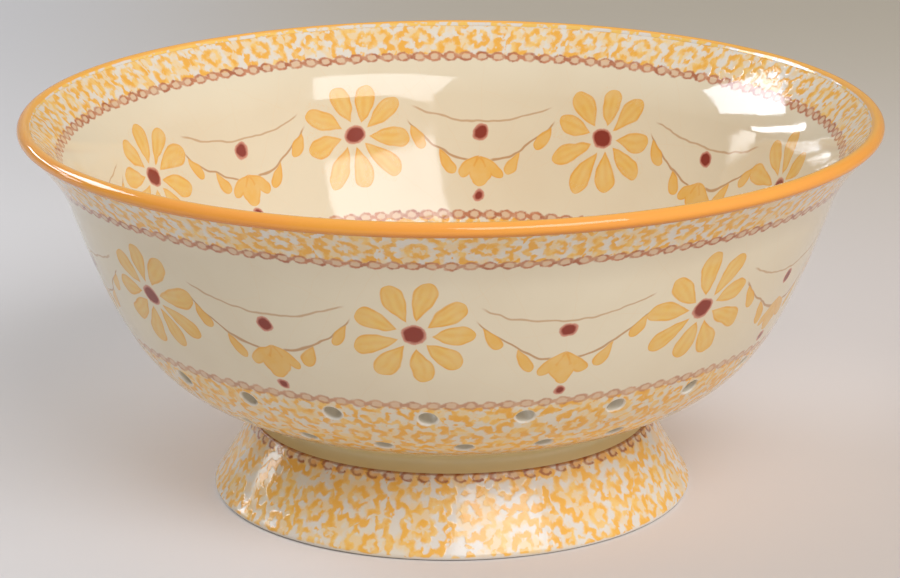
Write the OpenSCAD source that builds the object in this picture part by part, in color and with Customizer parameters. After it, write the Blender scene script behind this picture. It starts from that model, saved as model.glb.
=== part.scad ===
// Footed ceramic colander: a pierced bowl with a flared lip, standing on a hollow flared foot.
// Millimetres, +Z up. The origin is the middle of the circle that the foot stands on.
// The front of the colander faces -Y, and turns are counted from there towards +X.

/* [Lip] */
// Widest diameter of the bowl, over the glazed lip
rim_d = 280; // [240:1:330]
// How far the lip flares out beyond the wall
lip_reach = 15.5; // [10:0.5:22]
// Height of the flared lip above the wall
lip_rise = 24.85; // [18:0.05:34]
// Angle of the lip above level, in degrees
lip_angle = 46; // [35:1:60]
// Thickness of the clay at the rounded edge of the lip
lip_t = 4.2; // [3:0.1:6]
// Thickness of the coloured glaze on that edge
lip_glaze_t = 0.5; // [0.3:0.1:1]
// How far that glaze runs on past the rounded edge
lip_glaze_run = 0.6; // [0.3:0.1:1.5]

/* [Bowl] */
// Thickness of the wall and the floor
wall_t = 5.5; // [4:0.1:7]
// Height of the wall, from the edge of the floor to the start of the lip
wall_rise = 70.6; // [50:0.1:100]
// Steepness of the wall under the lip, in degrees
wall_angle = 71; // [60:1:85]
// Steepness of the dished floor at its edge, in degrees
floor_angle = 15.1; // [8:0.1:20]

/* [Foot] */
// Diameter of the foot where it stands
foot_base_d = 160; // [140:0.2:180]
// Diameter of the foot at its top edge
foot_top_d = 131.6; // [110:0.2:138]
// Height of the foot
foot_h = 24.3; // [16:0.1:40]
// Thickness of the foot's wall
foot_t = 7; // [5:0.1:9]
// Rounding of the foot's top edge
foot_top_round = 0.8; // [0.3:0.1:2]
// Rounding of the outer edge that the foot stands on
foot_base_round = 1.5; // [0.5:0.1:2]
// Rounding of the inner edge that the foot stands on
foot_inner_round = 1; // [0.3:0.1:2]

/* [Neck] */
// Height of the neck of clay that joins the bowl to the foot
neck_h = 6.55; // [4:0.05:12]
// How far the neck draws in behind the foot's top edge
neck_draw = 3.6; // [1:0.1:4.5]

/* [Drain holes] */
// Diameter of every drain hole
hole_d = 6; // [4:0.1:8]
// Height of the upper row in the wall, above the edge of the floor
upper_row_rise = 24.4; // [19:0.1:40]
// Height of the lower row in the wall, above the edge of the floor
lower_row_rise = 11; // [9:0.1:14]
// Distance from the foot's neck to the middle of the holes on either side of it
neck_margin = 9; // [7:0.1:12]
// Holes in the upper row of the wall
upper_row_count = 21; // [12:1:30]
// Holes in the lower row of the wall
lower_row_count = 22; // [12:1:28]
// Holes in the row under the bowl, just outside the foot
under_row_count = 18; // [10:1:24]
// Rings of holes in the floor, inside the foot
floor_ring_count = 2; // [1:1:3]
// Holes in the innermost ring, and how many more each next ring has
ring_step_count = 6; // [4:1:7]
// Turn of the upper row about the bowl, in degrees
upper_row_turn = -4.2; // [-10:0.1:10]
// Turn of the lower row about the bowl, in degrees
lower_row_turn = 2.5; // [-10:0.1:10]
// How far the spacing by eye drifts round a row, in degrees
row_drift = 2.5; // [0:0.1:4]

/* [Hidden] */
$fn = 96;

// Straight stretches that stand for each curve of the outline
floor_steps = 10;
wall_steps = 22;
lip_steps = 8;
neck_steps = 8;
corner_steps = 5;
lip_edge_steps = 14;
// Halvings of the search for a place on the wall
search_steps = 24;
// How far a cut runs past the face that it opens
overrun = 1;

// Pull of each end of the wall's and the lip's curve, along the straight line between its ends
wall_pull_shares = [0.357, 0.567];
lip_pull_shares = [0.34, 0.34];

foot_base_r = foot_base_d / 2;
foot_top_r = foot_top_d / 2;
foot_slope = atan2(foot_h, foot_base_r - foot_top_r);
foot_level_t = foot_t / sin(foot_slope);
foot_bore_r = foot_top_r - foot_level_t;

// The floor is a shallow dish, whose edge lies over the foot's top edge
floor_edge = [foot_top_r, foot_h + neck_h];
dish_r = foot_top_r / sin(floor_angle);
dish_centre_h = floor_edge[1] + dish_r * cos(floor_angle);

// The lip ends in a rounded edge, and lip_centre is the middle of that rounding
overall_h = floor_edge[1] + wall_rise + lip_rise;
lip_r = lip_t / 2;
lip_centre = [rim_d / 2 - lip_glaze_t - lip_r, overall_h - lip_glaze_t - lip_r];
lip_edge = lip_centre - lip_r * across(lip_angle);
wall_top = [rim_d / 2 - lip_reach, floor_edge[1] + wall_rise];

// Unit vector along a slope in the section, and the one square to it towards the inside
function along(angle) = [cos(angle), sin(angle)];
function across(angle) = [-sin(angle), cos(angle)];

// Corners of a smooth curve that leaves a and reaches b along the given angles
function curve_corners(a, a_angle, b, b_angle, shares) = [
    a,
    a + shares[0] * norm(b - a) * along(a_angle),
    b - shares[1] * norm(b - a) * along(b_angle),
    b
];

// The curve's tangent at share t is the last line left when its corners are mixed again and again
function mix(a, b, t) = a + (b - a) * t;
function mixed_once(points, t) = [for (i = [1:len(points) - 1]) mix(points[i - 1], points[i], t)];
function tangent(points, t) = len(points) == 2 ? points : tangent(mixed_once(points, t), t);
function curve_point(points, t) = let (line = tangent(points, t)) mix(line[0], line[1], t);
function curve_angle(points, t) =
    let (line = tangent(points, t), way = line[1] - line[0]) atan2(way[1], way[0]);

wall_corners = curve_corners(floor_edge, floor_angle, wall_top, wall_angle, wall_pull_shares);
lip_corners = curve_corners(wall_top, wall_angle, lip_edge, lip_angle, lip_pull_shares);

// Each station of the bowl's section is [point on the outside, slope there, thickness there]
function dish_station(slope) = [[dish_r * sin(slope), dish_centre_h - dish_r * cos(slope)], slope, wall_t];
function wall_station(t) = [curve_point(wall_corners, t), curve_angle(wall_corners, t), wall_t];
function lip_station(t) = [curve_point(lip_corners, t), curve_angle(lip_corners, t), mix(wall_t, lip_t, t)];

stations = [
    for (i = [0:floor_steps]) dish_station(floor_angle * i / floor_steps),
    for (i = [1:wall_steps]) wall_station(i / wall_steps),
    for (i = [1:lip_steps]) lip_station(i / lip_steps)
];

function outside(station) = station[0];
function inside(station) = station[0] + station[2] * across(station[1]);
function reversed(list) = [for (i = [len(list) - 1:-1:0]) list[i]];

// Half circle about the middle of the lip's rounding, from the outside to the inside
half_turn = 180;
function lip_arc(radius) = [
    for (i = [0:lip_edge_steps])
        lip_centre - radius * across(lip_angle + half_turn * i / lip_edge_steps)
];

// Share of the wall's curve at which its radius (axis 0) or its height (axis 1) has a value
function wall_share(axis, value, low = 0, high = 1, steps = search_steps) =
    let (middle = (low + high) / 2)
    steps == 0 ? middle
    : curve_point(wall_corners, middle)[axis] < value ? wall_share(axis, value, middle, high, steps - 1)
    : wall_share(axis, value, low, middle, steps - 1);

// Rounded corner between two straight edges, as points of an arc of the given radius
function turn_of(a, b) = atan2(a[0] * b[1] - a[1] * b[0], a * b);
function rounded(before, corner, after, radius) =
    let (
        way_in = (corner - before) / norm(corner - before),
        way_out = (after - corner) / norm(after - corner),
        turn = turn_of(way_in, way_out),
        side = sign(turn) * [-way_in[1], way_in[0]],
        centre = corner - way_in * radius * tan(abs(turn) / 2) + side * radius,
        start = atan2(-side[1], -side[0])
    )
    [for (i = [0:corner_steps]) centre + radius * along(start + turn * i / corner_steps)];

module bowl_section() {
    polygon(concat(
        [for (s = stations) outside(s)],
        [for (i = [1:lip_edge_steps - 1]) lip_arc(lip_r)[i]],
        reversed([for (s = stations) inside(s)])
    ));
}

// Everything on the inner side of the bowl's outside face
module bowl_space() {
    polygon(concat([for (s = stations) outside(s)], [[0, lip_edge[1]]]));
}

// One bore, square to the wall at a station
module drain_hole(station) {
    place = outside(station);
    translate([0, -place[0], place[1]])
        rotate([-station[1], 0, 0])
            translate([0, 0, -overrun])
                cylinder(h = station[2] + 2 * overrun, d = hole_d);
}

// A row of holes spaced by eye, so that its steps are a little shorter at the front
module hole_row(station, count, first_turn, drift) {
    for (i = [0:count - 1]) {
        even_turn = first_turn + 360 * i / count;
        rotate([0, 0, even_turn - drift * sin(even_turn)])
            drain_hole(station);
    }
}

module wall_holes() {
    upper = wall_station(wall_share(1, floor_edge[1] + upper_row_rise));
    lower = wall_station(wall_share(1, floor_edge[1] + lower_row_rise));
    under = wall_station(wall_share(0, floor_edge[0] + neck_margin));
    hole_row(upper, upper_row_count, upper_row_turn, row_drift);
    hole_row(lower, lower_row_count, lower_row_turn, row_drift);
    hole_row(under, under_row_count, 0, 0);
}

module floor_holes() {
    drain_hole(dish_station(0));
    for (ring = [1:floor_ring_count]) {
        ring_r = (foot_bore_r - neck_margin) * ring / floor_ring_count;
        hole_row(dish_station(asin(ring_r / dish_r)), ring * ring_step_count, 0, 0);
    }
}

// Thrown bowl: dished floor, round belly, steep wall and flared lip, pierced all over its lower half
module bowl() {
    color("#e9dcc2")
        difference() {
            rotate_extrude()
                bowl_section();
            wall_holes();
            floor_holes();
        }
}

// Collar of soft clay worked into the joint, hollow in the middle and coved outside
module luting_ring() {
    foot_side = [foot_top_r - foot_top_round, foot_h];
    bowl_side = floor_edge;
    waist = [foot_top_r - neck_draw, (foot_side[1] + bowl_side[1]) / 2];
    pinch = 2 * waist - (foot_side + bowl_side) / 2;
    cove = [for (i = [0:neck_steps]) curve_point([foot_side, pinch, bowl_side], i / neck_steps)];
    color("#d9c9a6")
        rotate_extrude()
            difference() {
                polygon(concat(
                    [[foot_bore_r, foot_h]],
                    cove,
                    [bowl_side + [0, overrun], [foot_bore_r, bowl_side[1] + overrun]]
                ));
                bowl_space();
            }
}

// Hollow flared foot, open underneath, with a flat ring to stand on
module foot() {
    outer_top = [foot_top_r, foot_h];
    outer_base = [foot_base_r, 0];
    inner_base = [foot_base_r - foot_level_t, 0];
    inner_top = [foot_bore_r, foot_h];
    color("#f0c070")
        rotate_extrude()
            polygon(concat(
                [inner_top],
                rounded(inner_top, inner_base, outer_base, foot_inner_round),
                rounded(inner_base, outer_base, outer_top, foot_base_round),
                rounded(outer_base, outer_top, inner_top, foot_top_round)
            ));
}

// Bead of coloured glaze that wraps the rounded edge of the lip and runs on down both its faces
module rim_glaze() {
    last = stations[len(stations) - 1];
    before = stations[len(stations) - 2];
    out_way = (outside(before) - outside(last)) / norm(outside(before) - outside(last));
    in_way = (inside(before) - inside(last)) / norm(inside(before) - inside(last));
    out_end = outside(last) + lip_glaze_run * out_way;
    in_end = inside(last) + lip_glaze_run * in_way;
    color("#f5a03c")
        rotate_extrude()
            polygon(concat(
                [out_end, out_end + lip_glaze_t * [-out_way[1], out_way[0]]],
                lip_arc(lip_r + lip_glaze_t),
                [in_end + lip_glaze_t * [in_way[1], -in_way[0]], in_end],
                reversed(lip_arc(lip_r))
            ));
}

bowl();
luting_ring();
foot();
rim_glaze();
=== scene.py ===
"""Footed ceramic colander: a turned, pierced bowl with sponged bands, chains and daisies under glaze."""

import logging
import math
from dataclasses import dataclass, field
from enum import Enum
from typing import Sequence, Union

import bmesh
import bpy
import numpy as np
from mathutils import Euler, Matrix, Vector


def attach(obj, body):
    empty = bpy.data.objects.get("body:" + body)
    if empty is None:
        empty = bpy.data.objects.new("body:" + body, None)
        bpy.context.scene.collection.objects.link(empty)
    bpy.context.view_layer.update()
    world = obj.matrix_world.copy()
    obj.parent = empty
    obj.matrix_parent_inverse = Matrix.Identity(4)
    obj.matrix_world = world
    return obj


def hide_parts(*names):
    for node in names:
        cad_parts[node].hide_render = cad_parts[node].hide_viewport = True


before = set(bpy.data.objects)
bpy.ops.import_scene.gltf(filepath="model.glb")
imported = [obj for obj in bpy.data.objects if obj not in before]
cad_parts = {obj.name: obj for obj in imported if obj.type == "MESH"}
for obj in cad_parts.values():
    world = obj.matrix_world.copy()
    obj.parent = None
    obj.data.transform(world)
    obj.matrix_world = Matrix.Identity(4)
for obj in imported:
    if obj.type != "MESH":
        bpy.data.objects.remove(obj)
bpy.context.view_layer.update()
LOG = logging.getLogger("colander")
MM = 0.001
PER_MM = 1000.0
TURN = 2.0 * math.pi
TINY = 1e-9

Number = Union[float, "Wire"]


def linear(code: str) -> tuple[float, float, float, float]:
    """Turns a colour as it looks on screen into the light values that shaders work in, by the sRGB curve.

    Args:
        code: six hexadecimal digits, red first.

    Returns:
        Red, green, blue and an alpha of one.
    """
    parts = [int(code[i:i + 2], 16) / 255.0 for i in (0, 2, 4)]
    red, green, blue = (c / 12.92 if c <= 0.04045 else ((c + 0.055) / 1.055) ** 2.4 for c in parts)
    return red, green, blue, 1.0


# Node trees

class Wire:
    """A number or vector that flows through a node tree, with the sums that formulas need."""

    def __init__(self, tree: bpy.types.NodeTree, socket: bpy.types.NodeSocket) -> None:
        """Keeps the tree and the socket that the value comes out of."""
        self.tree = tree
        self.socket = socket

    def math(self, operation: str, *others: Number) -> "Wire":
        """Adds a Math node whose first input is this value.

        Args:
            operation: Blender's name of the sum.
            others: the node's further inputs, numbers or wires.

        Returns:
            The node's result.
        """
        node = self.tree.nodes.new("ShaderNodeMath")
        node.operation = operation
        self.tree.links.new(self.socket, node.inputs[0])
        for place, other in enumerate(others, 1):
            plug(self.tree, other, node.inputs[place])
        return Wire(self.tree, node.outputs[0])

    def __add__(self, other: Number) -> "Wire":
        """Sum of the two."""
        return self.math("ADD", other)

    def __sub__(self, other: Number) -> "Wire":
        """This less the other."""
        return self.math("SUBTRACT", other)

    def __mul__(self, other: Number) -> "Wire":
        """Product of the two."""
        return self.math("MULTIPLY", other)

    def __truediv__(self, other: Number) -> "Wire":
        """This over the other."""
        return self.math("DIVIDE", other)

    def __neg__(self) -> "Wire":
        """The value with its sign changed."""
        return self.math("MULTIPLY", -1.0)

    def __abs__(self) -> "Wire":
        """The value without its sign."""
        return self.math("ABSOLUTE")

    def floor(self) -> "Wire":
        """Largest whole number that isn't over the value."""
        return self.math("FLOOR")

    def fraction(self) -> "Wire":
        """What is left over the largest whole number."""
        return self.math("FRACT")

    def root(self) -> "Wire":
        """Square root, with nothing under zero."""
        return self.math("MAXIMUM", 0.0).math("SQRT")

    def least(self, other: Number) -> "Wire":
        """The smaller of the two."""
        return self.math("MINIMUM", other)

    def most(self, other: Number) -> "Wire":
        """The larger of the two."""
        return self.math("MAXIMUM", other)

    def over(self, other: Number) -> "Wire":
        """One where the value is more than the other, and zero elsewhere."""
        return self.math("GREATER_THAN", other)

    def fade(self, start: float, end: float) -> "Wire":
        """Smooth change from zero at start to one at end, where end may be the smaller.

        Args:
            start: value at which the result is zero.
            end: value at which the result is one.

        Returns:
            The share between zero and one.
        """
        node = self.tree.nodes.new("ShaderNodeMapRange")
        node.interpolation_type = "SMOOTHSTEP"
        self.tree.links.new(self.socket, node.inputs["Value"])
        low, high = min(start, end), max(start, end)
        node.inputs["From Min"].default_value = low
        node.inputs["From Max"].default_value = high
        node.inputs["To Min"].default_value = 0.0 if start < end else 1.0
        node.inputs["To Max"].default_value = 1.0 if start < end else 0.0
        return Wire(self.tree, node.outputs["Result"])

    def toward(self, other: Number, share: Number) -> "Wire":
        """This value moved towards another by a share.

        Args:
            other: what a share of one gives.
            share: how far to go.

        Returns:
            The mixed value.
        """
        if isinstance(other, Wire):
            return self + (other - self) * share
        return self + (-self + other) * share


def plug(
    tree: bpy.types.NodeTree, value: Union[Number, Sequence[float]], target: bpy.types.NodeSocket
) -> None:
    """Feeds a socket from a wire, or sets it to a constant.

    Args:
        tree: the tree that holds the socket.
        value: a wire, a number, or a colour or vector.
        target: the socket that is fed.
    """
    if isinstance(value, Wire):
        tree.links.new(value.socket, target)
    else:
        target.default_value = value


class Bench:
    """A node tree under construction, with short calls for the nodes that the finishes use."""

    # Each seed moves a noise by so much along X, Y and Z.
    SEED_STEPS = (37.0, 17.0, 53.0)
    # A Mix node holds a set of sockets for each kind of value, and these are the ones for colours.
    MIX_INPUTS = (0, 6, 7)
    MIX_RESULT = 2

    def __init__(self, tree: bpy.types.NodeTree) -> None:
        """Keeps the tree that the nodes go into."""
        self.tree = tree

    def node(self, kind: str, **settings: object) -> bpy.types.Node:
        """Adds a node and sets its options.

        Args:
            kind: Blender's name of the node type.
            settings: options by name.

        Returns:
            The new node.
        """
        made = self.tree.nodes.new(kind)
        for name, value in settings.items():
            setattr(made, name, value)
        return made

    def wire(self, node: bpy.types.Node, name: Union[str, int]) -> Wire:
        """One output of a node as a wire."""
        return Wire(self.tree, node.outputs[name])

    def feed(self, node: bpy.types.Node, **values: object) -> bpy.types.Node:
        """Sets or links a node's inputs, with underscores in their names for spaces.

        Args:
            node: the node.
            values: a value for each input by name.

        Returns:
            The same node.
        """
        for name, value in values.items():
            plug(self.tree, value, node.inputs[name.replace("_", " ")])
        return node

    def parts(self, vector: Wire) -> tuple[Wire, Wire, Wire]:
        """Takes a vector apart.

        Args:
            vector: the vector.

        Returns:
            Its three numbers.
        """
        node = self.node("ShaderNodeSeparateXYZ")
        self.tree.links.new(vector.socket, node.inputs[0])
        return self.wire(node, 0), self.wire(node, 1), self.wire(node, 2)

    def vector(self, x: Number, y: Number, z: Number = 0.0) -> Wire:
        """Puts three numbers together.

        Args:
            x: the first of them.
            y: the second.
            z: the third.

        Returns:
            The vector.
        """
        node = self.node("ShaderNodeCombineXYZ")
        for place, value in enumerate((x, y, z)):
            plug(self.tree, value, node.inputs[place])
        return self.wire(node, 0)

    def length(self, x: Wire, y: Wire) -> Wire:
        """Length of the sloping side over two sides."""
        return (x * x + y * y).root()

    def noise(self, place: Wire, size: float, detail: float = 2.0, seed: float = 0.0) -> Wire:
        """Cloudy noise between zero and one.

        Args:
            place: where, in millimetres.
            size: width of a cloud in millimetres.
            detail: how many finer layers it has.
            seed: which of many such noises it is.

        Returns:
            The noise.
        """
        moved = self.node("ShaderNodeVectorMath", operation="ADD")
        self.tree.links.new(place.socket, moved.inputs[0])
        moved.inputs[1].default_value = tuple(seed * step for step in self.SEED_STEPS)
        node = self.node("ShaderNodeTexNoise", noise_dimensions="3D")
        self.feed(node, Vector=self.wire(moved, 0), Scale=1.0 / size, Detail=detail)
        return self.wire(node, "Fac")

    def sway(self, place: Wire, size: float, seed: float, reach: float, detail: float = 2.0) -> Wire:
        """Cloudy noise about zero, by which a hand, a brush or a glaze strays.

        Args:
            place: where, in millimetres.
            size: width of a cloud in millimetres.
            seed: which of many such noises it is.
            reach: how far the two extremes lie apart.
            detail: how many finer layers it has.

        Returns:
            The noise, as often under zero as over it.
        """
        return (self.noise(place, size, detail, seed) - 0.5) * reach

    def chance(self, place: Wire) -> Wire:
        """Draws a random number for each place.

        Args:
            place: a vector that stays the same all over the patch that shares one number.

        Returns:
            The number, between zero and one.
        """
        node = self.node("ShaderNodeTexWhiteNoise", noise_dimensions="3D")
        self.tree.links.new(place.socket, node.inputs["Vector"])
        return self.wire(node, "Value")

    def blend(self, share: Number, first: object, second: object) -> Wire:
        """A colour between two colours.

        Args:
            share: zero for the first, one for the second.
            first: a colour or a wire.
            second: a colour or a wire.

        Returns:
            The mixed colour.
        """
        node = self.node("ShaderNodeMix", data_type="RGBA", clamp_factor=True)
        for place, value in zip(self.MIX_INPUTS, (share, first, second)):
            plug(self.tree, value, node.inputs[place])
        return self.wire(node, self.MIX_RESULT)


class EffectGroup(Bench):
    """A shader node group with named inputs and outputs, built once and placed in several materials."""

    def __init__(self, name: str, inputs: dict[str, float], outputs: Sequence[str]) -> None:
        """Makes the empty group.

        Args:
            name: the group's name.
            inputs: each input's name and its usual value; a name that ends in Place is a vector.
            outputs: the names of what it puts out.
        """
        super().__init__(bpy.data.node_groups.new(name, "ShaderNodeTree"))
        for label, usual in inputs.items():
            kind = "NodeSocketVector" if label.endswith("Place") else "NodeSocketFloat"
            socket = self.tree.interface.new_socket(label, in_out="INPUT", socket_type=kind)
            if kind == "NodeSocketFloat":
                socket.default_value = usual
        for label in outputs:
            self.tree.interface.new_socket(label, in_out="OUTPUT", socket_type="NodeSocketFloat")
        self.entry = self.node("NodeGroupInput")
        self.exit = self.node("NodeGroupOutput")

    def given(self, name: str) -> Wire:
        """One of the group's inputs as a wire."""
        return self.wire(self.entry, name)

    def give(self, name: str, value: Wire) -> None:
        """Puts a value out of the group."""
        self.tree.links.new(value.socket, self.exit.inputs[name])

    def place(self, bench: Bench, **values: object) -> bpy.types.Node:
        """Puts the group into another tree.

        Args:
            bench: the tree that it goes into.
            values: its inputs by name, with underscores for spaces.

        Returns:
            The node that stands for the group there.
        """
        node = bench.node("ShaderNodeGroup", node_tree=self.tree)
        return bench.feed(node, **values)


# Geometry Nodes trees

class FormTree(Bench):
    """A Geometry Nodes tree with named inputs, put on an object as a modifier."""

    def __init__(self, name: str, inputs: dict[str, str]) -> None:
        """Makes the empty tree.

        Args:
            name: the tree's name.
            inputs: the socket type of each input by name.
        """
        super().__init__(bpy.data.node_groups.new(name, "GeometryNodeTree"))
        self.tree.interface.new_socket("Shape", in_out="INPUT", socket_type="NodeSocketGeometry")
        self.tree.interface.new_socket("Shape", in_out="OUTPUT", socket_type="NodeSocketGeometry")
        self.sockets = {
            label: self.tree.interface.new_socket(label, in_out="INPUT", socket_type=kind).identifier
            for label, kind in inputs.items()
        }
        self.entry = self.node("NodeGroupInput")
        self.exit = self.node("NodeGroupOutput")

    def given(self, name: str) -> Wire:
        """One of the tree's inputs as a wire."""
        return self.wire(self.entry, name)

    def close(self, shape: Wire) -> None:
        """Realizes the instances, smooths the shading, sets the material and puts the shape out.

        Args:
            shape: the finished geometry.
        """
        real = self.feed(self.node("GeometryNodeRealizeInstances"), Geometry=shape)
        smooth = self.feed(self.node("GeometryNodeSetShadeSmooth"), Geometry=self.wire(real, 0))
        dressed = self.feed(
            self.node("GeometryNodeSetMaterial"), Geometry=self.wire(smooth, 0), Material=self.given("Glaze")
        )
        self.tree.links.new(dressed.outputs[0], self.exit.inputs[0])

    def put_on(self, piece: bpy.types.Object, **values: object) -> None:
        """Adds the tree to an object as a modifier.

        Args:
            piece: the object.
            values: the tree's inputs by name, with underscores for spaces.
        """
        modifier = piece.modifiers.new(self.tree.name, "NODES")
        modifier.node_group = self.tree
        for name, value in values.items():
            modifier[self.sockets[name.replace("_", " ")]] = value


class TurnedTree(FormTree):
    """Turns a section about the upright axis, as a potter's wheel does."""

    WELD = 2e-6

    def __init__(self) -> None:
        """Builds the tree."""
        super().__init__("turned_form", {"Facets": "NodeSocketInt", "Glaze": "NodeSocketMaterial"})
        section = self.given("Shape")
        facets = self.given("Facets")
        count = self.feed(self.node("GeometryNodeAttributeDomainSize", component="MESH"), Geometry=section)
        grid = self.node("GeometryNodeMeshGrid")
        row = facets + 1.0
        self.tree.links.new(count.outputs["Point Count"], grid.inputs["Vertices X"])
        self.tree.links.new(row.socket, grid.inputs["Vertices Y"])
        index = self.wire(self.node("GeometryNodeInputIndex"), 0)
        step = (index / row).floor()
        sample = self.node("GeometryNodeSampleIndex", data_type="FLOAT_VECTOR", domain="POINT")
        self.feed(sample, Geometry=section, Index=step)
        self.tree.links.new(self.node("GeometryNodeInputPosition").outputs[0], sample.inputs["Value"])
        radius, _, height = self.parts(self.wire(sample, 0))
        angle = (index - step * row) / facets * TURN
        place = self.vector(radius * angle.math("SINE"), -(radius * angle.math("COSINE")), height)
        turned = self.feed(self.node("GeometryNodeSetPosition"), Geometry=self.wire(grid, 0), Position=place)
        welded = self.feed(
            self.node("GeometryNodeMergeByDistance"), Geometry=self.wire(turned, 0), Distance=self.WELD
        )
        outward = self.feed(self.node("GeometryNodeFlipFaces"), Mesh=self.wire(welded, 0))
        self.close(self.wire(outward, 0))


class DrainRowTree(FormTree):
    """Pierces one row of drain holes with glaze-rounded edges, square to the wall."""

    SIDES = 32
    RINGS = 8
    FLARE = math.radians(66.0)
    OVERSHOOT = 1.2 * MM

    def __init__(self) -> None:
        """Builds the tree."""
        sizes = ("Distance", "Height", "Tilt", "First Turn", "Drift", "Hole Width", "Edge Round", "Wall")
        super().__init__(
            "drain_row",
            {
                "Count": "NodeSocketInt",
                **{size: "NodeSocketFloat" for size in sizes},
                "Glaze": "NodeSocketMaterial",
            },
        )
        number = self.wire(self.node("GeometryNodeInputIndex"), 0)
        even = self.given("First Turn") + number / self.given("Count") * TURN
        turn = even - self.given("Drift") * even.math("SINE")
        reach = self.given("Distance")
        place = self.vector(reach * turn.math("SINE"), -(reach * turn.math("COSINE")), self.given("Height"))
        points = self.feed(self.node("GeometryNodePoints"), Count=self.given("Count"), Position=place)
        swing = self.feed(
            self.node("FunctionNodeEulerToRotation"), Euler=self.vector(-self.given("Tilt"), 0.0, turn)
        )
        punches = self.feed(
            self.node("GeometryNodeInstanceOnPoints"),
            Points=self.wire(points, 0), Instance=self.punch(), Rotation=self.wire(swing, 0),
        )
        real = self.feed(self.node("GeometryNodeRealizeInstances"), Geometry=self.wire(punches, 0))
        cut = self.node("GeometryNodeMeshBoolean", operation="DIFFERENCE", solver="MANIFOLD")
        self.tree.links.new(self.given("Shape").socket, cut.inputs["Mesh 1"])
        self.tree.links.new(real.outputs[0], cut.inputs["Mesh 2"])
        self.close(self.wire(cut, 0))

    def punch(self) -> Wire:
        """The solid that one hole takes away: a bore that flares at both faces of the wall.

        Returns:
            The punch, with its middle at half the wall's thickness.
        """
        # The rings count from the middle of the wall: the first ends the straight bore, the next ones bend
        # outwards to the face, and the last lies past it.
        bar = self.node("GeometryNodeMeshCylinder")
        self.feed(bar, Vertices=self.SIDES, Side_Segments=2 * self.RINGS, Radius=1.0, Depth=2.0)
        x, y, z = self.parts(self.wire(self.node("GeometryNodeInputPosition"), 0))
        ring = abs(z) * float(self.RINGS)
        angle = ((ring - 1.0) / (self.RINGS - 2.0)).most(0.0).least(1.0) * self.FLARE
        past = (ring - (self.RINGS - 1.0)).most(0.0) * self.OVERSHOOT
        bend = self.given("Edge Round")
        half = self.given("Wall") * 0.5
        start = half - bend * math.sin(self.FLARE)
        axial = ring.least(1.0) * start + bend * angle.math("SINE") + past * math.cos(self.FLARE)
        radial = (
            self.given("Hole Width") * 0.5 + bend - bend * angle.math("COSINE") + past * math.sin(self.FLARE)
        )
        place = self.vector(x * radial, y * radial, half + axial * z.math("SIGN"))
        shaped = self.feed(self.node("GeometryNodeSetPosition"), Geometry=self.wire(bar, 0), Position=place)
        return self.wire(shaped, 0)


TURNED = TurnedTree()
DRAIN_ROW = DrainRowTree()


# Sections and turned pieces

def along(angle: float) -> np.ndarray:
    """Unit vector in the section at an angle above level."""
    return np.array([math.cos(angle), math.sin(angle)])


def across(angle: float) -> np.ndarray:
    """Unit vector square to that one, towards the inside of the bowl."""
    return np.array([-math.sin(angle), math.cos(angle)])


def arc_points(centre: np.ndarray, radius: float, start: float, end: float, steps: int) -> list[np.ndarray]:
    """Points on an arc of the section.

    Args:
        centre: the arc's centre.
        radius: its radius.
        start: angle of the first point.
        end: angle of the last point.
        steps: stretches between the points.

    Returns:
        The points, both ends among them.
    """
    return [centre + radius * along(a) for a in np.linspace(start, end, steps + 1)]


def round_corner(
    before: np.ndarray, corner: np.ndarray, after: np.ndarray, radius: float, steps: int = 8
) -> list[np.ndarray]:
    """Rounds the corner between two straight edges.

    Args:
        before: a point on the first edge.
        corner: where the edges would meet.
        after: a point on the second edge.
        radius: the rounding's radius.
        steps: stretches that stand for it.

    Returns:
        The rounding's points.
    """
    way_in = (corner - before) / np.linalg.norm(corner - before)
    way_out = (after - corner) / np.linalg.norm(after - corner)
    turn = math.atan2(way_in[0] * way_out[1] - way_in[1] * way_out[0], float(way_in @ way_out))
    side = math.copysign(1.0, turn) * np.array([-way_in[1], way_in[0]])
    centre = corner - way_in * radius * math.tan(abs(turn) / 2) + side * radius
    start = math.atan2(-side[1], -side[0])
    return arc_points(centre, radius, start, start + turn, steps)


@dataclass
class Section:
    """The outline that is turned: points of radius and height that run up the outside and down the inside."""

    points: np.ndarray
    closed: bool
    normals: np.ndarray = field(init=False)

    def __post_init__(self) -> None:
        """Works out the outward normal at each point, the longer of its two stretches counting for more."""
        way = np.diff(self.points, axis=0)
        if self.closed:
            way = np.vstack([way[-1:], way, way[:1]])
        else:
            way = np.vstack([way[:1], way, way[-1:]])
        mean = way[:-1] + way[1:]
        mean /= np.linalg.norm(mean, axis=1)[:, None]
        self.normals = np.stack([mean[:, 1], -mean[:, 0]], axis=-1)

    def nearest(self, radius: np.ndarray, height: np.ndarray) -> tuple[np.ndarray, np.ndarray, np.ndarray]:
        """Finds where points of the model lie on the outline.

        Args:
            radius: each point's distance from the axis.
            height: each point's height.

        Returns:
            The stretch, the share along it and the distance from it, for each point.
        """
        start, way = self.points[:-1], np.diff(self.points, axis=0)
        length = np.maximum((way ** 2).sum(axis=1), TINY ** 2)
        place = np.stack([radius, height], axis=-1)[:, None, :] - start[None, :, :]
        share = np.clip((place * way[None, :, :]).sum(axis=2) / length, 0.0, 1.0)
        gap = np.linalg.norm(place - share[:, :, None] * way[None, :, :], axis=2)
        best = gap.argmin(axis=1)
        each = np.arange(len(radius))
        return best, share[each, best], gap[each, best]

    def mesh(self, name: str) -> bpy.types.Mesh:
        """Draws the outline in the XZ plane.

        Args:
            name: the mesh's name.

        Returns:
            A mesh of vertices and edges alone.
        """
        made = bpy.data.meshes.new(name)
        corners = [(float(r), 0.0, float(z)) for r, z in self.points]
        made.from_pydata(corners, [(i, i + 1) for i in range(len(corners) - 1)], [])
        return made


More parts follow.
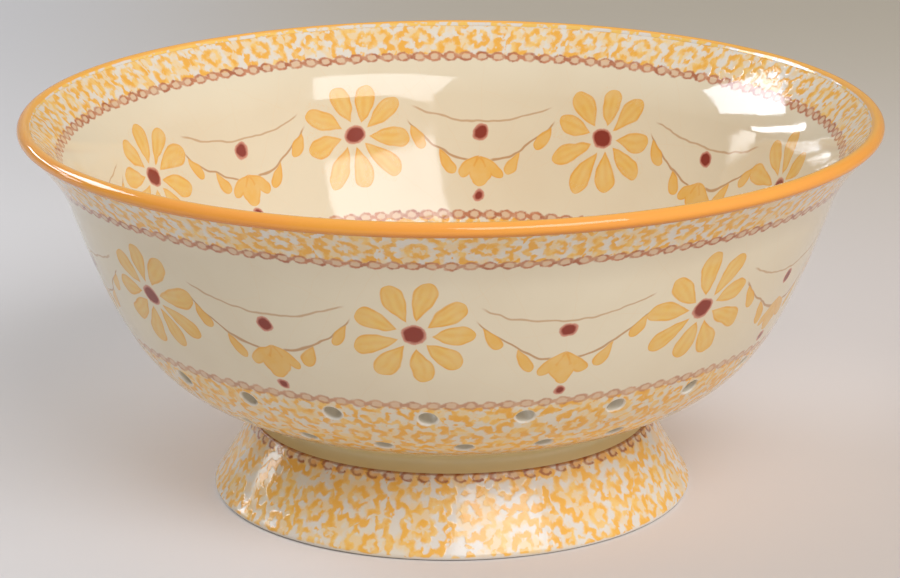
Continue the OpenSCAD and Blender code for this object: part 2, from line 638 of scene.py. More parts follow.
def between(values: np.ndarray, stretch: np.ndarray, share: np.ndarray) -> np.ndarray:
    """Reads a list of values, one at each point of an outline, at places between the points.

    Args:
        values: the values.
        stretch: the stretch of the outline that each place is on.
        share: the share along it.

    Returns:
        The value at each place.
    """
    return values[stretch] * (1 - share) + values[stretch + 1] * share


def coordinates(mesh: bpy.types.Mesh) -> np.ndarray:
    """Reads where a mesh's vertices are.

    Args:
        mesh: the mesh.

    Returns:
        Every vertex's place, one row each.
    """
    values = np.zeros(len(mesh.vertices) * 3)
    mesh.vertices.foreach_get("co", values)
    return values.reshape(-1, 3)


class TurnedPiece:
    """A piece turned from a section, converted to a plain mesh with the section's own smooth normals."""

    FACETS = 256
    # Vertices closer than MERGE are one, and a vertex within ON_FACE of the section is on the turned face.
    MERGE = 4e-6
    ON_FACE = 0.03 * MM

    def __init__(self, name: str, section: Section, material: bpy.types.Material) -> None:
        """Puts the turning tree on the section.

        Args:
            name: the piece's name.
            section: its outline.
            material: its finish.
        """
        self.section = section
        self.material = material
        self.item = bpy.data.objects.new(name, section.mesh(name + "_section"))
        bpy.context.scene.collection.objects.link(self.item)
        TURNED.put_on(self.item, Facets=self.FACETS, Glaze=material)

    def convert(self) -> bpy.types.Object:
        """Turns what the trees make into a plain mesh, cleans it and sets its normals.

        Returns:
            The piece.
        """
        graph = bpy.context.evaluated_depsgraph_get()
        mesh = bpy.data.meshes.new_from_object(self.item.evaluated_get(graph), depsgraph=graph)
        self.item.modifiers.clear()
        self.item.data = mesh
        mesh.name = self.item.name
        work = bmesh.new()
        work.from_mesh(mesh)
        bmesh.ops.remove_doubles(work, verts=work.verts, dist=self.MERGE)
        bmesh.ops.dissolve_degenerate(work, edges=work.edges, dist=self.MERGE)
        bmesh.ops.triangulate(work, faces=[f for f in work.faces if len(f.verts) > 4])
        if work.calc_volume(signed=True) < 0:
            bmesh.ops.reverse_faces(work, faces=work.faces)
        work.to_mesh(mesh)
        work.free()
        mesh.materials.clear()
        mesh.materials.append(self.material)
        self.smooth()
        return self.item

    def smooth(self) -> None:
        """Sets the normals of the turned faces from the section. Those in the holes are left to the mesh."""
        mesh = self.item.data
        place = coordinates(mesh)
        radius = np.hypot(place[:, 0], place[:, 1])
        stretch, share, gap = self.section.nearest(radius, place[:, 2])
        bent = between(self.section.normals, stretch, share[:, None])
        bent /= np.linalg.norm(bent, axis=1)[:, None]
        level = place[:, :2] / np.maximum(radius, TINY)[:, None]
        normals = np.column_stack([level * bent[:, :1], bent[:, 1]])
        normals[gap > self.ON_FACE] = 0.0
        for polygon in mesh.polygons:
            polygon.use_smooth = True
        mesh.normals_split_custom_set_from_vertices(normals.tolist())

    def ride(self, slot: str, *nodes: str) -> bpy.types.Object:
        """Puts the piece on the root body, in place of CAD nodes.

        Args:
            slot: the record's material slot; not used.
            nodes: the nodes that it stands for.

        Returns:
            The piece.
        """
        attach(self.item, "root")
        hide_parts(*nodes)
        mesh = self.item.data
        LOG.info("%s: %d vertices, %d faces", self.item.name, len(mesh.vertices), len(mesh.polygons))
        return self.item


# Effects that several finishes share

class SpongeEffect(EffectGroup):
    """Prints of a cut sponge: a lobed ring inside a scalloped one, over and over, with torn edges."""

    # Millimetres, but for STRAY, the share by which the prints stray from even spacing.
    SPACING = 17.5
    STRAY = 0.55
    SMEAR = 3.7
    TEAR = 3.4
    CRUMBS = 15.0
    PRINT_EDGE = (9.0, 11.5)

    def __init__(self) -> None:
        """Builds the group.

        Place is in millimetres on the unrolled surface. Where Placed is one, the prints sit where Print Place
        says, which holds the distance from the print's middle along and up the band, and its random number.
        """
        super().__init__(
            "sponge_print", {"Place": 0.0, "Print Place": 0.0, "Placed": 0.0}, ("Amount", "Strength", "Wash")
        )
        place = self.given("Place")
        cells = self.node("ShaderNodeTexVoronoi", voronoi_dimensions="2D", feature="F1")
        self.feed(cells, Vector=place, Scale=1.0 / self.SPACING, Randomness=self.STRAY)
        x, y, _ = self.parts(place)
        middle_x, middle_y, _ = self.parts(self.wire(cells, "Position"))
        luck, _, _ = self.parts(self.wire(cells, "Color"))
        print_x, print_y, print_luck = self.parts(self.given("Print Place"))
        placed = self.given("Placed")
        side = (x - middle_x).toward(print_x, placed) + self.sway(place, size=5.0, seed=3.0, reach=self.SMEAR)
        rise = (y - middle_y).toward(print_y, placed) + self.sway(place, size=5.0, seed=9.0, reach=self.SMEAR)
        self.reach = self.length(side, rise)
        self.angle = rise.math("ARCTAN2", side) + luck.toward(print_luck, placed) * TURN
        inner_ring = self.scallop(radius=2.8, depth=0.34, lobes=5.0, half_width=1.05)
        outer_ring = self.scallop(radius=7.9, depth=0.95, lobes=10.0, half_width=1.35)
        crumbs = (self.noise(place, size=4.6, seed=21.0) - 0.51) * self.CRUMBS
        inside = self.reach.fade(self.PRINT_EDGE[1], self.PRINT_EDGE[0])
        inked = inner_ring.most(outer_ring).most(crumbs.least(1.1) - inside * 4.5)
        gaps = self.noise(place, size=3.2, seed=14.0, detail=1.0).fade(0.56, 0.70) * 1.5 - 0.15
        ragged = inked - gaps + self.sway(place, size=2.3, seed=5.0, reach=self.TEAR, detail=3.0)
        pressed = self.noise(place, size=5.0, seed=31.0, detail=3.0) + ragged * 0.05
        self.give("Amount", ragged.fade(-0.70, 0.65))
        self.give("Strength", pressed.fade(0.33, 0.62))
        self.give("Wash", self.noise(place, size=7.5, seed=27.0, detail=3.0).fade(0.44, 0.60))

    def scallop(self, radius: float, depth: float, lobes: float, half_width: float) -> Wire:
        """One lobed ring of the print.

        Args:
            radius: its mean radius in millimetres.
            depth: how far the lobes stand out.
            lobes: how many it has.
            half_width: half the width of its line.

        Returns:
            How far inside the line each place is, less than nothing outside it.
        """
        return -abs(self.reach - (self.angle * lobes).math("COSINE") * depth - radius) + half_width


class ChainEffect(EffectGroup):
    """A stamped chain: small round links joined by short strokes, paler where the stamp took less colour."""

    # Millimetres, but for shares of a link's size. A link opens in a direction along and up the band.
    HALF_LINE = 0.40
    SQUASH = (0.80, 1.08)
    SWING = 0.25
    OPEN_WAY = (0.77, 0.64)
    OPEN_FROM = 0.40
    FAINTEST = 0.58

    def __init__(self) -> None:
        """Builds the group. Links counts links round the piece, and the other numbers are in millimetres."""
        sizes = {
            "Links": 0.0, "Across": 0.0, "Pitch": 5.6, "Ring": 1.65, "Tie": 0.75, "Open": 0.0, "Place": 0.0,
        }
        super().__init__("stamped_chain", sizes, ("Line", "Fill", "Dark"))
        links, pitch, ring, tie = (self.given(name) for name in ("Links", "Pitch", "Ring", "Tie"))
        place = self.given("Place")
        ragged = self.sway(place, size=1.5, seed=8.0, reach=1.4)
        rise = self.given("Across") + self.sway(place, size=8.0, seed=2.0, reach=1.0)
        turned = links + self.sway(place, size=7.0, seed=6.0, reach=0.16, detail=1.0)
        side = (turned.fraction() - 0.5) * pitch
        reach = self.length(side * self.SQUASH[0], rise * self.SQUASH[1])
        round_line = -abs(reach - ring) + self.HALF_LINE
        stroke = -abs(rise - (turned * TURN).math("SINE") * self.SWING) + tie
        stroke = stroke - (-abs(side) + ring).most(0.0) * 3.0
        cut = (side * self.OPEN_WAY[0] - rise * self.OPEN_WAY[1] - ring * self.OPEN_FROM) * self.given("Open")
        line = round_line.most(stroke) - cut.most(0.0) + ragged
        stamped = self.noise(place, size=3.2, seed=12.0).fade(0.30, 0.56)
        pressed = stamped * (1.0 - self.FAINTEST) + self.FAINTEST
        self.give("Line", line.fade(-0.36, 0.36) * pressed)
        self.give("Fill", (-reach + ring + 0.2 + ragged * 0.5).most(stroke).fade(-0.25, 0.25))
        self.give("Dark", self.noise(place, size=5.5, seed=14.0).fade(0.36, 0.66))


class GarlandEffect(EffectGroup):
    """Brush painting: daisies joined by hanging festoons with drops and a bell at the lowest point."""

    # Millimetres, but for the counts, the lean of the drops and the direction of the bell's side lobes.
    # A stroke follows x * sqrt(1 - x), which reaches 1 / 2.6 at most.
    UNSTEADY = 4.2
    STROKE_FULL = 2.6
    STROKE_EDGE = 0.15
    PETALS = 9
    PETAL_START = 4.7
    PETAL_LENGTH = 13.0
    PETAL_LUCK = 3.6
    PETAL_HALF_WIDTH = 3.7
    FLOWER_RISE = 1.0
    EYE = 3.1
    LINE_START = 15.0
    LINE_RISE = 20.0
    LINE_LOWEST = 9.5
    LINE_EDGE = (0.66, 0.22)
    LINE_FROM_EYE = (18.5, 20.5)
    LINE_FROM_BELL = (3.0, 5.0)
    UPPER_RISE = 9.0
    UPPER_LOWEST = 4.5
    UPPER_EDGE = (0.54, 0.16)
    UPPER_FROM_EYE = (20.0, 23.0)
    DROPS = 3.0
    DROP_START = 0.7
    DROP_LENGTH = 9.6
    DROP_HALF_WIDTH = 2.3
    LEAN = 0.52
    BELL_TOP = 7.2
    BELL_LENGTH = 12.5
    BELL_HALF_WIDTH = 3.0
    LOBE_LENGTH = 11.0
    LOBE_HALF_WIDTH = 2.3
    LOBE_WAY = (0.72, 0.69)
    BERRY = 2.45
    BERRY_RISE = 0.8
    LAST_BERRY = 1.7
    LAST_BERRY_DROP = 22.4

    def __init__(self) -> None:
        """Builds the group. Turn is in radians, and Radius and Rise are in millimetres."""
        usual = {"Turn": 0.0, "Radius": 115.0, "Rise": 0.0, "Repeats": 8.0, "Shift": 0.0, "Place": 0.0}
        super().__init__("painted_garland", usual, ("Amber", "Pool", "Streak", "Russet", "Halo", "Line"))
        place = self.given("Place")
        hand_x = self.sway(place, size=12.0, seed=41.0, reach=self.UNSTEADY)
        hand_y = self.sway(place, size=12.0, seed=47.0, reach=self.UNSTEADY)
        repeats = self.given("Repeats")
        count = self.given("Turn") * repeats * (1.0 / TURN) + self.given("Shift")
        cell = (count + 0.5).floor()
        self.luck = self.chance(self.vector(cell.math("WRAP", repeats, 0.0), self.given("Shift"), 7.0))
        step = self.given("Radius") * TURN / repeats
        self.x = (count - cell) * step + hand_x
        self.y = self.given("Rise") + hand_y
        self.half = step * 0.5
        petals, streak = self.daisy()
        drops, line = self.festoon()
        brush = petals.least(drops).least(self.bell())
        amber = brush.fade(0.26, -0.20)
        self.give("Amber", amber)
        self.give("Pool", brush.fade(-1.15, -0.1) * amber)
        self.give("Streak", streak)
        self.give("Line", line)
        spots = self.spots() + self.sway(place, size=1.8, seed=19.0, reach=0.8)
        self.give("Russet", spots.fade(0.10, -0.75))
        self.give("Halo", spots.fade(0.62, 0.05))

    def stroke(self, run: Wire, off: Wire, half_width: float) -> Wire:
        """One brush stroke, thin where it starts and round where the brush lifts.

        Args:
            run: share of the way along the stroke, from zero to one.
            off: distance from its middle line in millimetres.
            half_width: half its greatest width in millimetres.

        Returns:
            Distance from the stroke's edge in millimetres, less than nothing inside it.
        """
        inside = run.most(0.0).least(1.0)
        return abs(off) - inside * (-inside + 1.0).root() * (half_width * self.STROKE_FULL) + self.STROKE_EDGE

    def daisy(self) -> tuple[Wire, Wire]:
        """The flower's petals.

        Returns:
            Distance from the petals' edge, and the light and dark left by the hairs of the brush.
        """
        x, y = self.x, self.y - self.FLOWER_RISE
        sector = TURN / self.PETALS
        reach = self.length(x, y)
        angle = y.math("ARCTAN2", x) + self.luck * sector
        petal = (angle / sector + 0.5).floor()
        bend = angle - petal * sector
        tilt = self.chance(self.vector(petal.math("WRAP", float(self.PETALS), 0.0), self.luck * 31.0, 3.0))
        across = reach * (bend + (tilt - 0.5) * 0.14).math("SINE")
        length = tilt * self.PETAL_LUCK + self.PETAL_LENGTH
        run = (reach * bend.math("COSINE") - self.PETAL_START) / length
        streak = (across * 2.3 + tilt * 5.0 + run * 1.5).math("SINE") * 0.5 + 0.5
        return self.stroke(run, across, self.PETAL_HALF_WIDTH), streak.most(run.fade(0.55, 1.05))

    def hang(self, share: Wire) -> Wire:
        """Height of the hanging line at a share of the way from its lowest point to the flower."""
        return share * share * self.LINE_RISE - self.LINE_LOWEST

    def festoon(self) -> tuple[Wire, Wire]:
        """The hanging line between two daisies, with drops under it and a thinner line over it.

        Returns:
            Distance from the drops' edge, and the lines' mask.
        """
        side = abs(self.x)
        span = self.half - self.LINE_START
        share = (self.half - side) / span
        sag = self.hang(share)
        shown = abs(self.y - sag).fade(*self.LINE_EDGE) * side.fade(*self.LINE_FROM_EYE)
        line = shown * (self.half - side).fade(*self.LINE_FROM_BELL)
        upper = share * share * self.UPPER_RISE + self.UPPER_LOWEST
        thin = abs(self.y - upper).fade(*self.UPPER_EDGE) * side.fade(*self.UPPER_FROM_EYE)
        shear = share + (sag - self.y) * self.LEAN / span
        middle = ((shear * self.DROPS).floor() + 0.5) / self.DROPS
        off = (share - middle) * span
        down = self.hang(middle) - self.y
        lean = math.hypot(1.0, self.LEAN)
        run = (down - off * self.LEAN - self.DROP_START) / (self.DROP_LENGTH * lean)
        drops = self.stroke(run, (off + down * self.LEAN) / lean, self.DROP_HALF_WIDTH)
        outside = abs(middle - 0.5).fade(0.45, 0.55) * 9.0
        return drops + outside, line.most(thin * 0.75)

    def bell(self) -> Wire:
        """The three-lobed bell that hangs from the festoon's lowest point.

        Returns:
            Distance from its edge.
        """
        off = self.half - abs(self.x)
        down = -(self.y + self.BELL_TOP)
        along_lobe, across_lobe = self.LOBE_WAY
        run = (down * along_lobe + off * across_lobe) / self.LOBE_LENGTH
        middle = self.stroke(down / self.BELL_LENGTH, off, self.BELL_HALF_WIDTH)
        return middle.least(self.stroke(run, off * along_lobe - down * across_lobe, self.LOBE_HALF_WIDTH))

    def spots(self) -> Wire:
        """The flower's dark eye and the berries over and under the bell.

        Returns:
            Distance from the edge of the nearest.
        """
        off = self.half - abs(self.x)
        eye = self.length(self.x, self.y - self.FLOWER_RISE) - self.luck * 0.3 - self.EYE
        berry = self.length(off, self.y - self.BERRY_RISE) - self.BERRY
        return eye.least(berry).least(self.length(off, self.y + self.LAST_BERRY_DROP) - self.LAST_BERRY)


class ReliefEffect(EffectGroup):
    """Small unevenness of a glazed surface: slow waves, orange peel and the thickness of the painting."""

    # Heights in millimetres.
    WAVE = 0.34
    RIPPLE = 0.03
    PEEL = 0.006
    PAINT = 0.01
    PAINT_GRAIN = 0.05

    def __init__(self) -> None:
        """Builds the group. Its Place is in millimetres, and Colour is the mask of the raised colour."""
        super().__init__("glaze_relief", {"Place": 0.0, "Colour": 0.0, "Waves": 1.0}, ("Height", "Gloss"))
        place = self.given("Place")
        waves = self.noise(place, size=30.0, seed=11.0, detail=1.0) * self.WAVE * self.given("Waves")
        ripple = self.noise(place, size=9.0, seed=18.0, detail=1.0) * self.given("Waves") * self.RIPPLE
        peel = self.noise(place, size=2.6, seed=17.0) * self.PEEL + ripple
        paint = self.noise(place, size=1.3, seed=61.0) * self.PAINT_GRAIN + self.PAINT
        self.give("Height", waves + peel + self.given("Colour") * paint)
        self.give("Gloss", self.noise(place, size=7.0, seed=23.0, detail=3.0).fade(0.35, 0.75))


SPONGE = SpongeEffect()
CHAIN = ChainEffect()
GARLAND = GarlandEffect()
RELIEF = ReliefEffect()


# Finishes

class Pigment(Enum):
    """Colours of the glazes and of the painting under them."""

    CREAM = "E9DCC0"
    CREAM_WARM = "E4D3B4"
    BARE_WHITE = "E5DED4"
    SPONGE_LIGHT = "F8C965"
    SPONGE_DEEP = "F2B03E"
    FOOT_SPONGE = "F5B74A"
    CHAIN = "A95630"
    CHAIN_PALE = "C67C54"
    CHAIN_FILL = "DBB08A"
    FOOT_CHAIN = "98502E"
    FOOT_CHAIN_PALE = "B0693E"
    PETAL = "EFC469"
    PETAL_POOL = "E89A35"
    RUSSET = "8A2F1F"
    HALO = "C9664F"
    TAN = "C08F5E"
    LIP_AMBER = "F8A445"
    # Glaze run down the lip's underside, darkened further as painted shade.
    LIP_RUN_AND_SHADE = "D9802B"
    NECK = "EBDBAF"
    # The neck's painted shade under the bowl, and its warm patches.
    NECK_WARM_AND_SHADE = "E1CD96"
    EDGE_GLAZE = "EAE4D8"
    # Bare clay in the drain holes' bores, darker as painted shade.
    BORE = "CBC1AC"

    @property
    def light(self) -> tuple[float, float, float, float]:
        """The colour as a shader takes it."""
        return linear(self.value)


@dataclass(frozen=True)
class Gloss:
    """How a glaze shines: its least roughness, how far that varies, its refractive index and its relief."""

    roughness: float
    spread: float
    bend: float
    relief: float


CLEAR_GLAZE = Gloss(roughness=0.05, spread=0.05, bend=1.48, relief=1.0)
AMBER_GLAZE = Gloss(roughness=0.07, spread=0.05, bend=1.50, relief=1.0)
RIPPLED_GLAZE = Gloss(roughness=0.09, spread=0.08, bend=1.44, relief=1.0)


@dataclass(frozen=True)
class ChainTones:
    """The colours that a chain is stamped in."""

    dark: Pigment
    pale: Pigment
    fill: Pigment
    fill_share: float


class GlazeFinish(Bench):
    """A glazed ceramic material. Each finish paints its own colour, and all of them shine in the same way."""

    # Shares by which one colour covers another: the sponge's wash, its full amber, and a chain's lines.
    WASH = 0.5
    AMBER_LEAST = 0.76
    AMBER_MORE = 0.2
    LINE_COVER = 0.88
    # Millimetres: no place counts as nearer to the axis than this.
    NEAREST = 0.001

    def __init__(self, name: str, gloss: Gloss) -> None:
        """Makes the material and its shader.

        Args:
            name: the material's name.
            gloss: how it shines.
        """
        self.material = bpy.data.materials.new(name)
        self.material.use_nodes = True
        super().__init__(self.material.node_tree)
        self.tree.nodes.clear()
        self.gloss = gloss
        self.shader = self.feed(self.node("ShaderNodeBsdfPrincipled"), IOR=gloss.bend)
        output = self.node("ShaderNodeOutputMaterial")
        self.tree.links.new(self.shader.outputs[0], output.inputs[0])
        scaled = self.node("ShaderNodeVectorMath", operation="SCALE")
        self.tree.links.new(self.node("ShaderNodeTexCoord").outputs["Object"], scaled.inputs[0])
        scaled.inputs["Scale"].default_value = PER_MM
        self.place = self.wire(scaled, 0)
        self.x, self.y, self.z = self.parts(self.place)
        self.radius = self.length(self.x, self.y).most(self.NEAREST)
        self.turn = self.x.math("ARCTAN2", -self.y)

    def read(self, name: str) -> Wire:
        """A number that the mesh carries at each vertex, by its name."""
        return self.wire(self.node("ShaderNodeAttribute", attribute_name=name), "Fac")

    def unrolled(self, run: Wire, layer: Number = 0.0) -> Wire:
        """Lays the surface out flat about the axis, so that a print keeps its size on it.

        Args:
            run: distance from the axis along the surface, in millimetres.
            layer: keeps the prints of two faces apart.

        Returns:
            The place on the flat, in millimetres.
        """
        return self.vector(self.x / self.radius * run, self.y / self.radius * run, layer)

    def finish(
        self, colour: Wire, raised: Number, waves: float = 1.0, shape: Number = 0.0, dull: Number = 0.0
    ) -> bpy.types.Material:
        """Feeds the shader with the colour and the relief.

        Args:
            colour: the painted colour.
            raised: mask of the colour that lies thick under the glaze.
            waves: how much the surface undulates.
            shape: further height of the surface in millimetres.
            dull: added roughness.

        Returns:
            The material.
        """
        relief = RELIEF.place(self, Place=self.place, Colour=raised, Waves=waves)
        rough = self.wire(relief, "Gloss") * self.gloss.spread + self.gloss.roughness + dull
        bump = self.feed(
            self.node("ShaderNodeBump"), Strength=self.gloss.relief, Distance=MM,
            Height=self.wire(relief, "Height") + shape,
        )
        self.feed(self.shader, Base_Color=colour, Roughness=rough, Normal=self.wire(bump, 0))
        return self.material

    def mottled(self, colour: Union[Wire, Sequence[float]], warm: Pigment, share: float) -> Wire:
        """Warms a colour in cloudy patches.

        Args:
            colour: the colour, painted or plain.
            warm: what it goes towards.
            share: how far it goes at most.

        Returns:
            The mottled colour.
        """
        cloud = self.noise(self.place, size=38.0, seed=71.0, detail=3.0).fade(0.35, 0.75)
        return self.blend(cloud * share, colour, warm.light)

    def sponged(
        self, base: Wire, printed: bpy.types.Node, amount: Wire, zone: Wire,
        deep: Pigment = Pigment.SPONGE_DEEP,
    ) -> Wire:
        """Lays sponged amber over a colour.

        Args:
            base: what is under it.
            printed: the print's node.
            amount: the print's mask, kept to its zone.
            zone: mask of the zone itself.
            deep: the amber where the sponge was full.

        Returns:
            The printed colour.
        """
        strength = self.wire(printed, "Strength")
        washed = self.blend(self.wire(printed, "Wash") * zone * self.WASH, base, Pigment.SPONGE_LIGHT.light)
        amber = self.blend(strength, Pigment.SPONGE_LIGHT.light, deep.light)
        return self.blend(amount * (strength * self.AMBER_MORE + self.AMBER_LEAST), washed, amber)

    def chained(
        self, base: Wire, chain: bpy.types.Node, shown: Number, tones: ChainTones,
        strength: Number = LINE_COVER,
    ) -> Wire:
        """Stamps a chain over a colour.

        Args:
            base: what is under it.
            chain: the chain's node.
            shown: mask of the zone that it is kept to.
            tones: its colours.
            strength: how fully its lines cover.

        Returns:
            The stamped colour.
        """
        filled = self.blend(self.wire(chain, "Fill") * shown * tones.fill_share, base, tones.fill.light)
        ink = self.blend(self.wire(chain, "Dark"), tones.pale.light, tones.dark.light)
        return self.blend(self.wire(chain, "Line") * shown * strength, filled, ink)


@dataclass(frozen=True)
class Band:
    """Where a painted band runs on the bowl, outside and inside, in millimetres along the surface."""

    outside: float
    inside: float

    def across(self, run: Wire, inner: Wire) -> Wire:
        """Distance of a place from the band's middle line.

        Args:
            run: distance along the surface from the axis.
            inner: zero outside, one inside.

        Returns:
            The distance, positive towards the lip.
        """
        return run - (inner * (self.inside - self.outside) + self.outside)


class PaintedFinish(GlazeFinish):
    """The bowl's finish: cream slip, sponged bands, chains and the painted garland."""

    # The garland: how many go round, how far they are turned, and half the height of their zone (mm).
    GARLANDS = 8.0
    GARLAND_SHIFT = 0.12
    GARLAND_HALF = (26.0, 27.5)
    # The sponged bands, in millimetres over the chain that edges them.
    RIM_PRINTS = 41.0
    RIM_FROM = -6.0
    PRINT_RISE = 7.5
    SPONGED_FROM = 0.4
    SPONGED_FULL = 1.2
    FACES_APART = 40.0
    # The chains: how many links go round, and how much fainter the lower one is outside.
    UPPER_FROM = -20.0
    LOWER_LINKS = 119.0
    MORE_LINKS_ABOVE = 25.0
    FEWER_LINKS_INSIDE = 4.0
    FAINTER = 0.36
    # The drain holes, in millimetres from a hole's middle or from the end of its rounded edge.
    BARE_EDGE = (0.35, 0.45)
    BORE = 2.7
    BORE_EDGE = (0.25, 0.05)
    BORE_DULLNESS = 0.5
    # Shares by which the painting covers the slip.
    BARE_COVER = (0.35, 0.40)
    TAN_COVER = 0.85
    PETAL_COVER = (0.80, 0.18)
    POOL_COVER = 0.75
    STREAK_COVER = 0.30
    HALO_COVER = 0.75
    RUSSET_COVER = 0.95
    EDGE_COVER = 0.92
    BORE_CLAY_AND_SHADE_COVER = 0.95
    CHAIN = ChainTones(Pigment.CHAIN, Pigment.CHAIN_PALE, Pigment.CHAIN_FILL, fill_share=0.65)

    def paint(self, upper: Band, lower: Band, hole_reach: float) -> bpy.types.Material:
        """Paints the bowl.

        Args:
            upper: the chain under the lip.
            lower: the chain over the drain holes.
            hole_reach: distance from a hole's middle to the end of its rounded edge, in millimetres.

        Returns:
            The material.
        """
        run, inner = self.read("run"), self.read("inner")
        up, low = upper.across(run, inner), lower.across(run, inner)
        colour = self.mottled(Pigment.CREAM.light, Pigment.CREAM_WARM, 0.55)
        wander = self.sway(self.place, size=6.0, seed=52.0, reach=1.4)
        rim_zone = (up + wander).fade(self.SPONGED_FROM, self.SPONGED_FULL)
        sponge_zone = rim_zone.most((low + wander).fade(-self.SPONGED_FROM, -self.SPONGED_FULL))
        bare = sponge_zone * self.BARE_COVER[0] + rim_zone * self.BARE_COVER[1]
        colour = self.blend(bare, colour, Pigment.BARE_WHITE.light)
        outside, inside = upper.outside - lower.outside, upper.inside - lower.inside
        tall = inner * (inside - outside) + outside
        colour = self.garland(colour, low - tall * 0.5, inner)
        near_rim = up.over(self.RIM_FROM)
        prints = self.turn * (self.RIM_PRINTS / TURN) + inner * 0.5
        along_band = (prints.fraction() - 0.5) * (TURN / self.RIM_PRINTS) * self.radius
        luck = self.chance(self.vector(prints.math("WRAP", self.RIM_PRINTS, 0.0).floor(), inner, 5.0))
        printed = SPONGE.place(
            self, Place=self.unrolled(run, inner * self.FACES_APART),
            Print_Place=self.vector(along_band, up - self.PRINT_RISE, luck), Placed=near_rim,
        )
        amount = self.wire(printed, "Amount") * sponge_zone
        colour = self.sponged(colour, printed, amount, sponge_zone)
        colour = self.chains(colour, up, low, inner)
        colour, raised, bore = self.hole_edges(colour, hole_reach, amount)
        return self.finish(colour, raised, dull=bore * self.BORE_DULLNESS)

    def garland(self, colour: Wire, rise: Wire, inner: Wire) -> Wire:
        """Paints the garland between the two chains.

        Args:
            colour: what is under it.
            rise: height along the surface over the middle of the zone, in millimetres.
            inner: zero outside, one inside.

        Returns:
            The painted colour.
        """
        node = GARLAND.place(
            self, Turn=self.turn, Radius=self.radius, Rise=rise, Repeats=self.GARLANDS,
            Shift=inner * 0.5 + self.GARLAND_SHIFT, Place=self.place,
        )
        zone = abs(rise).fade(self.GARLAND_HALF[1], self.GARLAND_HALF[0])
        amber, pool = self.wire(node, "Amber") * zone, self.wire(node, "Pool") * zone
        thin = self.noise(self.place, size=5.0, seed=77.0, detail=3.0).fade(0.25, 0.75)
        covers = amber * (thin * self.PETAL_COVER[1] + self.PETAL_COVER[0])
        colour = self.blend(self.wire(node, "Line") * zone * self.TAN_COVER, colour, Pigment.TAN.light)
        colour = self.blend(covers, colour, Pigment.PETAL.light)
        streaked = amber * self.wire(node, "Streak") * self.STREAK_COVER
        brushed = (pool * self.POOL_COVER).most(streaked) * (thin * 0.5 + 0.5)
        colour = self.blend(brushed, colour, Pigment.PETAL_POOL.light)
        colour = self.blend(self.wire(node, "Halo") * zone * self.HALO_COVER, colour, Pigment.HALO.light)
        return self.blend(self.wire(node, "Russet") * zone * self.RUSSET_COVER, colour, Pigment.RUSSET.light)

    def chains(self, colour: Wire, up: Wire, low: Wire, inner: Wire) -> Wire:
        """Stamps the chains that edge the sponged bands.

        Args:
            colour: what is under them.
            up: distance from the upper chain.
            low: distance from the lower chain.
            inner: zero outside, one inside.

        Returns:
            The stamped colour.
        """
        high = up.over(self.UPPER_FROM)
        links = high * self.MORE_LINKS_ABOVE + self.LOWER_LINKS - inner * self.FEWER_LINKS_INSIDE
        pitch = self.radius * TURN / links
        node = CHAIN.place(
            self, Links=self.turn * links * (1.0 / TURN) + 0.5, Across=low.toward(up, high),
            Pitch=pitch, Place=self.place,
        )
        faint = (-high + 1.0) * (-inner + 1.0)
        return self.chained(colour, node, 1.0, self.CHAIN, faint * -self.FAINTER + self.LINE_COVER)

    def hole_edges(self, colour: Wire, reach: float, amount: Wire) -> tuple[Wire, Wire, Wire]:
        """Leaves the drain holes' rounded edges in bare white glaze, and paints the bores darker: bare clay,
        with painted shade.

        Args:
            colour: what is under it.
            reach: distance from a hole's middle to the end of its rounded edge, in millimetres.
            amount: mask of the sponged colour.

        Returns:
            The colour, the mask of the colour that still lies thick, and the mask of the bores.
        """
        away = self.read("away")
        uneven = self.sway(self.place, size=3.0, seed=83.0, reach=2.0, detail=1.0)
        bare = (away + uneven).fade(reach + self.BARE_EDGE[0], reach - self.BARE_EDGE[1])
        colour = self.blend(bare * self.EDGE_COVER, colour, Pigment.EDGE_GLAZE.light)
        # The bores are painted darker: bare clay, with painted shade in the holes.
        bore = away.fade(self.BORE + self.BORE_EDGE[0], self.BORE + self.BORE_EDGE[1])
        colour = self.blend(bore * self.BORE_CLAY_AND_SHADE_COVER, colour, Pigment.BORE.light)
        return colour, amount * (-bare + 1.0), bore


class NeckFinish(GlazeFinish):
    """Plain cream glaze, with painted shade: darker and warmer towards the top, under the bowl."""

    # Heights in millimetres between which painted shade darkens the neck towards the bowl above.
    SHADE_HEIGHTS = (25.0, 29.5)
    SHADE_COVER = 0.8

    def paint(self) -> bpy.types.Material:
        """Paints the neck.

        Returns:
            The material.
        """
        # Painted shade: darker towards the top of the neck, under the bowl's floor.
        thick = (self.z + self.sway(self.place, size=12.0, seed=5.0, reach=3.0)).fade(*self.SHADE_HEIGHTS)
        colour = self.blend(thick * self.SHADE_COVER, Pigment.NECK.light, Pigment.NECK_WARM_AND_SHADE.light)
        return self.finish(self.mottled(colour, Pigment.NECK_WARM_AND_SHADE, 0.4), 0.0)


